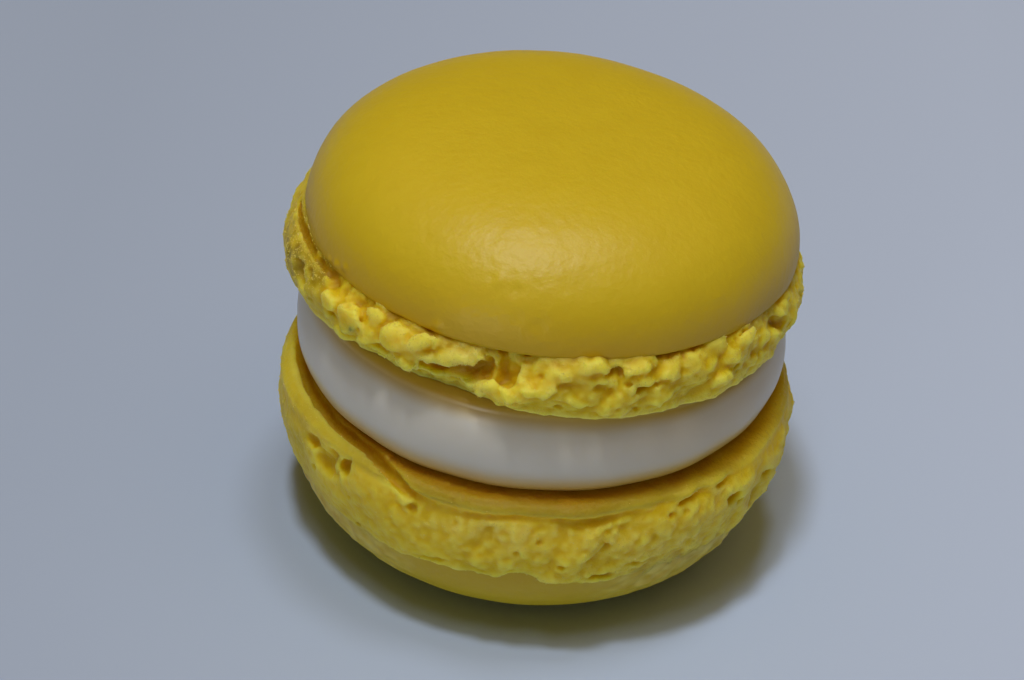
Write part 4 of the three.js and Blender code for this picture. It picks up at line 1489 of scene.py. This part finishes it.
@dataclass(frozen=True)
class MeringueSkin:
    """Baked almond meringue, skinned over: smooth and satin, with the faint mottle of fine almond,
    browner and darker towards its edge, partly as browning and partly as painted shade, and pale
    where the crumb runs out over it. Pattern sizes are in millimetres."""

    colour: str = "#d6c128"
    shade: str = "#cfb824"
    # colour of the browning and painted shade towards the dome's edge
    rim_brown_and_shade: str = "#c8a80e"
    crumb: str = "#e2d05a"
    roughness: float = 0.44
    mottle_size: float = 2.381
    grain_size: float = 0.6667

    def make(self) -> bpy.types.Material:
        """Makes the material: two tones mixed by the mottle, the browning and painted shade of the
        edge and the crumb laid over them by the dome's marks, and a fine bump. Light goes a little
        way in.

        Returns:
            The material.
        """
        material, tree, place = bare_material("baked_meringue_skin")
        mottle = add_node(tree, "ShaderNodeTexNoise",
                          {"Scale": per_metre(self.mottle_size), "Detail": 5.0}, {"Vector": place})
        mix = add_node(tree, "ShaderNodeMix",
                       {"data_type": "RGBA", UNDER: linear(self.colour), OVER: linear(self.shade)},
                       {SHARE: mottle.outputs["Fac"]})
        # Over the mottle: the edge's browning with painted shade, then the pale crumb.
        for mark, colour in (("rim_brown_and_shade", self.rim_brown_and_shade), ("crumbly", self.crumb)):
            share = add_node(tree, "ShaderNodeAttribute", {"attribute_name": mark}, {}).outputs["Fac"]
            mix = add_node(tree, "ShaderNodeMix", {"data_type": "RGBA", OVER: linear(colour)},
                           {SHARE: share, UNDER: mix.outputs[MIXED]})
        fine = add_node(tree, "ShaderNodeTexNoise",
                        {"Scale": per_metre(self.grain_size), "Detail": 3.0}, {"Vector": place})
        bump = add_node(tree, "ShaderNodeBump", {"Strength": 0.6, "Distance": 0.1 * MM},
                        {"Height": fine.outputs["Fac"]})
        shader = add_node(
            tree, "ShaderNodeBsdfPrincipled",
            {"Roughness": self.roughness, "IOR": 1.42, "Subsurface Weight": 0.3,
             "Subsurface Radius": (0.9 * MM, 0.7 * MM, 0.2 * MM), "Subsurface Scale": 1.0},
            {"Base Color": mix.outputs[MIXED], "Normal": bump.outputs["Normal"]})
        add_node(tree, "ShaderNodeOutputMaterial", {}, {"Surface": shader.outputs["BSDF"]})
        return material


@dataclass(frozen=True)
class MeringueCrumb:
    """Baked almond meringue, torn open: porous, and pale on its crests, partly as painted
    highlight; a darker amber in its bubbles and deep places as painted shade; browned where the
    base skin and the dome met the heat, with painted shade laid there too; and darker olive where
    painted shade is laid. Light goes far into it, so that it glows a little. Its pattern size is in
    millimetres."""

    # colour of the pale crests: partly the pale torn crust, partly painted highlight
    crest_highlight: str = "#f0e256"
    body: str = "#e4c812"
    # colour of the painted shade, a darker amber, in bubbles and deep places
    deep: str = "#cea616"
    # colour of the browning and painted shade at the base skin's edge and in the crease under the dome
    browned_and_shaded: str = "#b4860a"
    dry: str = "#f8ec84"
    # colour of the painted olive shade, laid where the pale mark is below 0
    olive_shade: str = "#94800c"
    dryness: float = 0.5
    olive_shade_share: float = 0.9
    grain_size: float = 0.4545

    def make(self) -> bpy.types.Material:
        """Makes the material: over the body colour lie, one after the other, the crests with their
        painted highlight, the painted shade of the deep places, the dry ones, the painted olive
        shade, and the browned ones with their painted shade, each by the foot's marks. A share
        below 0 lays nothing.

        Returns:
            The material.
        """
        material, tree, place = bare_material("baked_meringue_crumb")
        depth, edge, hollow, browned_and_shaded, pale = (
            add_node(tree, "ShaderNodeAttribute", {"attribute_name": mark}, {}).outputs["Fac"]
            for mark in ("depth", "edge", "hollow", "browned_and_shaded", "pale"))
        # Darker amber by depth under the skin and by hollowness: painted shade in bubbles and hollows.
        far = add_node(tree, "ShaderNodeMapRange", {"From Min": 0.4, "From Max": 2.0}, {"Value": depth})
        pit_shade = add_node(tree, "ShaderNodeMapRange", {"From Min": -0.04, "From Max": -0.5},
                       {"Value": hollow})
        sunken_shade = add_node(tree, "ShaderNodeMath", {"operation": "MAXIMUM"},
                          {0: far.outputs[0], 1: pit_shade.outputs[0]})
        # Lighter on the crests by their shape: partly the pale torn crust, partly painted highlight.
        ridge = add_node(tree, "ShaderNodeMath", {"operation": "ADD"}, {0: edge, 1: hollow})
        crest_highlight = add_node(tree, "ShaderNodeMapRange", {"From Min": -0.1, "From Max": 0.45},
                         {"Value": ridge.outputs[0]})
        dry, olive_shade = (add_node(tree, "ShaderNodeMath", {"operation": "MULTIPLY", 1: share}, {0: pale})
                      for share in (self.dryness, -self.olive_shade_share))
        mix = add_node(tree, "ShaderNodeMix",
                       {"data_type": "RGBA", UNDER: linear(self.body), OVER: linear(self.crest_highlight)},
                       {SHARE: crest_highlight.outputs[0]})
        # Laid in turn: painted shade of deep places, dry crust, painted olive shade, browning with painted
        # shade.
        for share, colour in ((sunken_shade.outputs[0], self.deep), (dry.outputs[0], self.dry),
                              (olive_shade.outputs[0], self.olive_shade), (browned_and_shaded, self.browned_and_shaded)):
            mix = add_node(tree, "ShaderNodeMix", {"data_type": "RGBA", OVER: linear(colour)},
                           {SHARE: share, UNDER: mix.outputs[MIXED]})
        fine = add_node(tree, "ShaderNodeTexNoise",
                        {"Scale": per_metre(self.grain_size), "Detail": 4.0}, {"Vector": place})
        bump = add_node(tree, "ShaderNodeBump", {"Strength": 0.9, "Distance": 0.2 * MM},
                        {"Height": fine.outputs["Fac"]})
        shader = add_node(
            tree, "ShaderNodeBsdfPrincipled",
            {"Roughness": 0.5, "IOR": 1.45, "Specular IOR Level": 0.3, "Subsurface Weight": 1.0,
             "Subsurface Radius": (2.4 * MM, 1.9 * MM, 0.6 * MM), "Subsurface Scale": 1.0},
            {"Base Color": mix.outputs[MIXED], "Normal": bump.outputs["Normal"]})
        add_node(tree, "ShaderNodeOutputMaterial", {}, {"Surface": shader.outputs["BSDF"]})
        return material


@dataclass(frozen=True)
class Buttercream:
    """Whipped buttercream, smoothed by pressing: off-white and satin, faintly uneven, with painted
    yellow shade and reflected light where it touches the shells and painted shade at one side.
    Its pattern size is in millimetres."""

    colour: str = "#d6d5cb"
    # colour of the painted yellow shade and reflected light next to the shells
    shade_and_bounce_colour: str = "#cfb050"
    roughness: float = 0.34
    ripple_size: float = 3.333

    def make(self) -> bpy.types.Material:
        """Makes the material: the painted yellow shade and reflected light laid over the cream by
        its mark, and a soft, low bump.

        Returns:
            The material.
        """
        material, tree, place = bare_material("whipped_buttercream")
        soft = add_node(tree, "ShaderNodeTexNoise",
                        {"Scale": per_metre(self.ripple_size), "Detail": 3.0}, {"Vector": place})
        # Painted yellow shade and reflected light, by the disc's mark.
        shade_and_bounce = add_node(tree, "ShaderNodeAttribute", {"attribute_name": "shade_and_bounce"}, {}).outputs["Fac"]
        mix = add_node(tree, "ShaderNodeMix",
                       {"data_type": "RGBA", UNDER: linear(self.colour), OVER: linear(self.shade_and_bounce_colour)},
                       {SHARE: shade_and_bounce})
        bump = add_node(tree, "ShaderNodeBump", {"Strength": 0.15, "Distance": 0.2 * MM},
                        {"Height": soft.outputs["Fac"]})
        shader = add_node(
            tree, "ShaderNodeBsdfPrincipled",
            {"Roughness": self.roughness, "IOR": 1.45, "Specular IOR Level": 0.75,
             "Subsurface Weight": 0.3, "Subsurface Radius": (1.0 * MM, 0.8 * MM, 0.5 * MM),
             "Subsurface Scale": 1.0},
            {"Base Color": mix.outputs[MIXED], "Normal": bump.outputs["Normal"]})
        add_node(tree, "ShaderNodeOutputMaterial", {}, {"Surface": shader.outputs["BSDF"]})
        return material


@dataclass(frozen=True)
class SugarCrystal:
    """Refined sugar, tinted by the batter: pale yellow and smooth, so that some facets glint."""

    colour: str = "#eadb6c"
    roughness: float = 0.25

    def make(self) -> bpy.types.Material:
        """Makes the material: one plain glossy colour, with sugar's own refraction.

        Returns:
            The material.
        """
        material = bpy.data.materials.new("sugar_crystal")
        material.use_nodes = True
        shader = material.node_tree.nodes["Principled BSDF"]
        shader.inputs["Base Color"].default_value = linear(self.colour)
        shader.inputs["Roughness"].default_value = self.roughness
        shader.inputs["IOR"].default_value = 1.54
        return material


@dataclass(frozen=True)
class TablePaper:
    """Smooth matt card, pale blue-grey, painted a little darker at its left and lighter at its
    right as shading. It changes over a width that reaches as far to each side of the macaron, in
    millimetres."""

    # the two ends of a painted shading across the card, darker at the left
    left_shaded: str = "#a6bbde"
    right: str = "#bcd2f8"
    reach: float = 45.0
    roughness: float = 0.8

    def make(self) -> bpy.types.Material:
        """Makes the material: the two tones of the painted shading mixed by the place from left
        to right.

        Returns:
            The material.
        """
        material, tree, place = bare_material("matt_card")
        axes = add_node(tree, "ShaderNodeSeparateXYZ", {}, {0: place})
        share = add_node(tree, "ShaderNodeMapRange",
                         {"From Min": -self.reach * MM, "From Max": self.reach * MM},
                         {"Value": axes.outputs[0]})
        mix = add_node(tree, "ShaderNodeMix",
                       {"data_type": "RGBA", UNDER: linear(self.left_shaded), OVER: linear(self.right)},
                       {SHARE: share.outputs[0]})
        shader = add_node(tree, "ShaderNodeBsdfPrincipled", {"Roughness": self.roughness},
                          {"Base Color": mix.outputs[MIXED]})
        add_node(tree, "ShaderNodeOutputMaterial", {}, {"Surface": shader.outputs["BSDF"]})
        return material


# ---- Studio --------------------------------------------------------------------------------------


@dataclass(frozen=True)
class Lamp:
    """A round soft lamp that faces the macaron: where it hangs, its width in metres, its power and
    its tint."""

    name: str
    place: tuple[float, float, float]
    width: float
    power: float
    tint: str = "#ffffff"


@dataclass
class Studio:
    """The table, the light and the camera.

    Attributes:
        elevation, roll: How far down the camera looks and how far it is rolled, in degrees.
        distance, focal, sensor: Its distance, focal length and sensor width, in millimetres.
        look, aside: A point, and how far to the right of it and above it the camera looks, in
            millimetres.
        lamps: The lamps, with places in metres.
        room_colour, dark_below, zenith: The room's colour, the upward part of a direction below
            which it is dark, and its strength overhead.
        table_reach: How far the table reaches to each side, in millimetres.
    """

    elevation: float = 34.5
    roll: float = 4.91
    distance: float = 277.4
    focal: float = 115.7
    sensor: float = 36.0
    look: tuple[float, float, float] = (0.0, 0.0, 15.3)
    aside: tuple[float, float] = (-2.25, 1.11)
    lamps: tuple[Lamp, ...] = (
        Lamp("key", (-0.12, -0.19, 1.0), 0.12, 3.15),
        Lamp("second", (0.058, 0.03, 1.0), 0.16, 1.3),
        Lamp("front", (-0.105, -0.354, 1.0), 0.24, 1.05),
        Lamp("right", (0.45, -0.1, 1.0), 0.6, 0.42, "#ffe8c0"),
        Lamp("low", (-0.4, -0.92, 0.07), 0.16, 1.15, "#fff8ec"),
    )
    room_colour: str = "#ffc454"
    dark_below: float = 0.4
    zenith: float = 0.44
    table_reach: float = 900.0

    def camera(self) -> None:
        """Makes the camera: it looks down along +Y at its elevation, and is rolled about its axis."""
        e, r = math.radians(self.elevation), math.radians(self.roll)
        back = np.array([0.0, -math.cos(e), math.sin(e)])
        right, up = np.array([1.0, 0.0, 0.0]), np.array([0.0, math.sin(e), math.cos(e)])
        target = np.array(self.look) + self.aside[0] * right + self.aside[1] * up
        cam_right = math.cos(r) * right + math.sin(r) * up
        cam_up = math.cos(r) * up - math.sin(r) * right
        data = bpy.data.cameras.new("camera")
        data.lens, data.sensor_width, data.sensor_fit = self.focal, self.sensor, "HORIZONTAL"
        data.clip_start, data.clip_end = 0.01, 10.0
        made = bpy.data.objects.new("camera", data)
        bpy.context.scene.collection.objects.link(made)
        place = (target + back * self.distance) * MM
        axes = [[cam_right[i], cam_up[i], back[i], place[i]] for i in range(3)]
        made.matrix_world = Matrix([*axes, [0.0, 0.0, 0.0, 1.0]])
        bpy.context.scene.camera = made

    def table(self) -> None:
        """Makes the table top, a broad flat sheet of four squares."""
        spots = np.linspace(-self.table_reach, self.table_reach, 3)
        rows = len(spots)
        x, y = np.meshgrid(spots, spots)
        points = np.stack([x, y, np.zeros_like(x)], -1).reshape(-1, 3)
        faces = [[i * rows + j, i * rows + j + 1, (i + 1) * rows + j + 1, (i + 1) * rows + j]
                 for i in range(rows - 1) for j in range(rows - 1)]
        made = build_mesh("table_top", points, faces, {})
        made.data.materials.append(TablePaper().make())

    def light(self) -> None:
        """Makes the round lamps: three overhead, most of them a little to the front and left, a
        broad weak one at the right and a low one at the front."""
        for lamp in self.lamps:
            data = bpy.data.lights.new(f"{lamp.name}_lamp", "AREA")
            data.shape, data.size, data.energy = "DISK", lamp.width, lamp.power
            data.color = linear(lamp.tint)[:3]
            made = bpy.data.objects.new(f"{lamp.name}_lamp", data)
            bpy.context.scene.collection.objects.link(made)
            made.location = lamp.place
            made.rotation_euler = Vector(lamp.place).to_track_quat("Z", "Y").to_euler()

    def room(self) -> None:
        """Makes the dim warm room, which is brightest overhead and dark towards its walls."""
        world = bpy.data.worlds.new("room")
        world.use_nodes = True
        tree = world.node_tree
        facing = add_node(tree, "ShaderNodeTexCoord", {}, {}).outputs["Generated"]
        axes = add_node(tree, "ShaderNodeSeparateXYZ", {}, {0: facing})
        glow = add_node(tree, "ShaderNodeMapRange", {"From Min": self.dark_below, "To Max": self.zenith},
                        {"Value": axes.outputs[2]})
        room = tree.nodes["Background"]
        room.inputs["Color"].default_value = linear(self.room_colour)
        tree.links.new(glow.outputs[0], room.inputs["Strength"])
        bpy.context.scene.world = world
        bpy.context.scene.view_settings.view_transform = "Standard"


def main() -> None:
    """Builds the macaron and its studio, and reports each piece."""
    logging.basicConfig(level=logging.INFO, format="%(message)s")
    skin, crumb, cream = MeringueSkin().make(), MeringueCrumb().make(), Buttercream().make()
    made, feet = [], []
    for shell in (LOWER, UPPER):
        foot, dome = shell.build()
        feet.append(foot)
        foot.data.materials.append(crumb)
        dome.data.materials.append(skin)
        for piece in (foot, dome):
            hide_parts(shell.node)
            made.append(piece)
    disc = Cream().build()
    disc.data.materials.append(cream)
    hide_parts("filling")
    made.append(disc)
    grains = SugarGrains().build(feet)
    grains.data.materials.append(SugarCrystal().make())
    made.append(grains)
    for piece in made:
        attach(piece, "root")
        LOG.info("%s: %d faces", piece.name, len(piece.data.polygons))
    studio = Studio()
    studio.table()
    studio.light()
    studio.room()
    studio.camera()


if __name__ == "__main__":
    main()
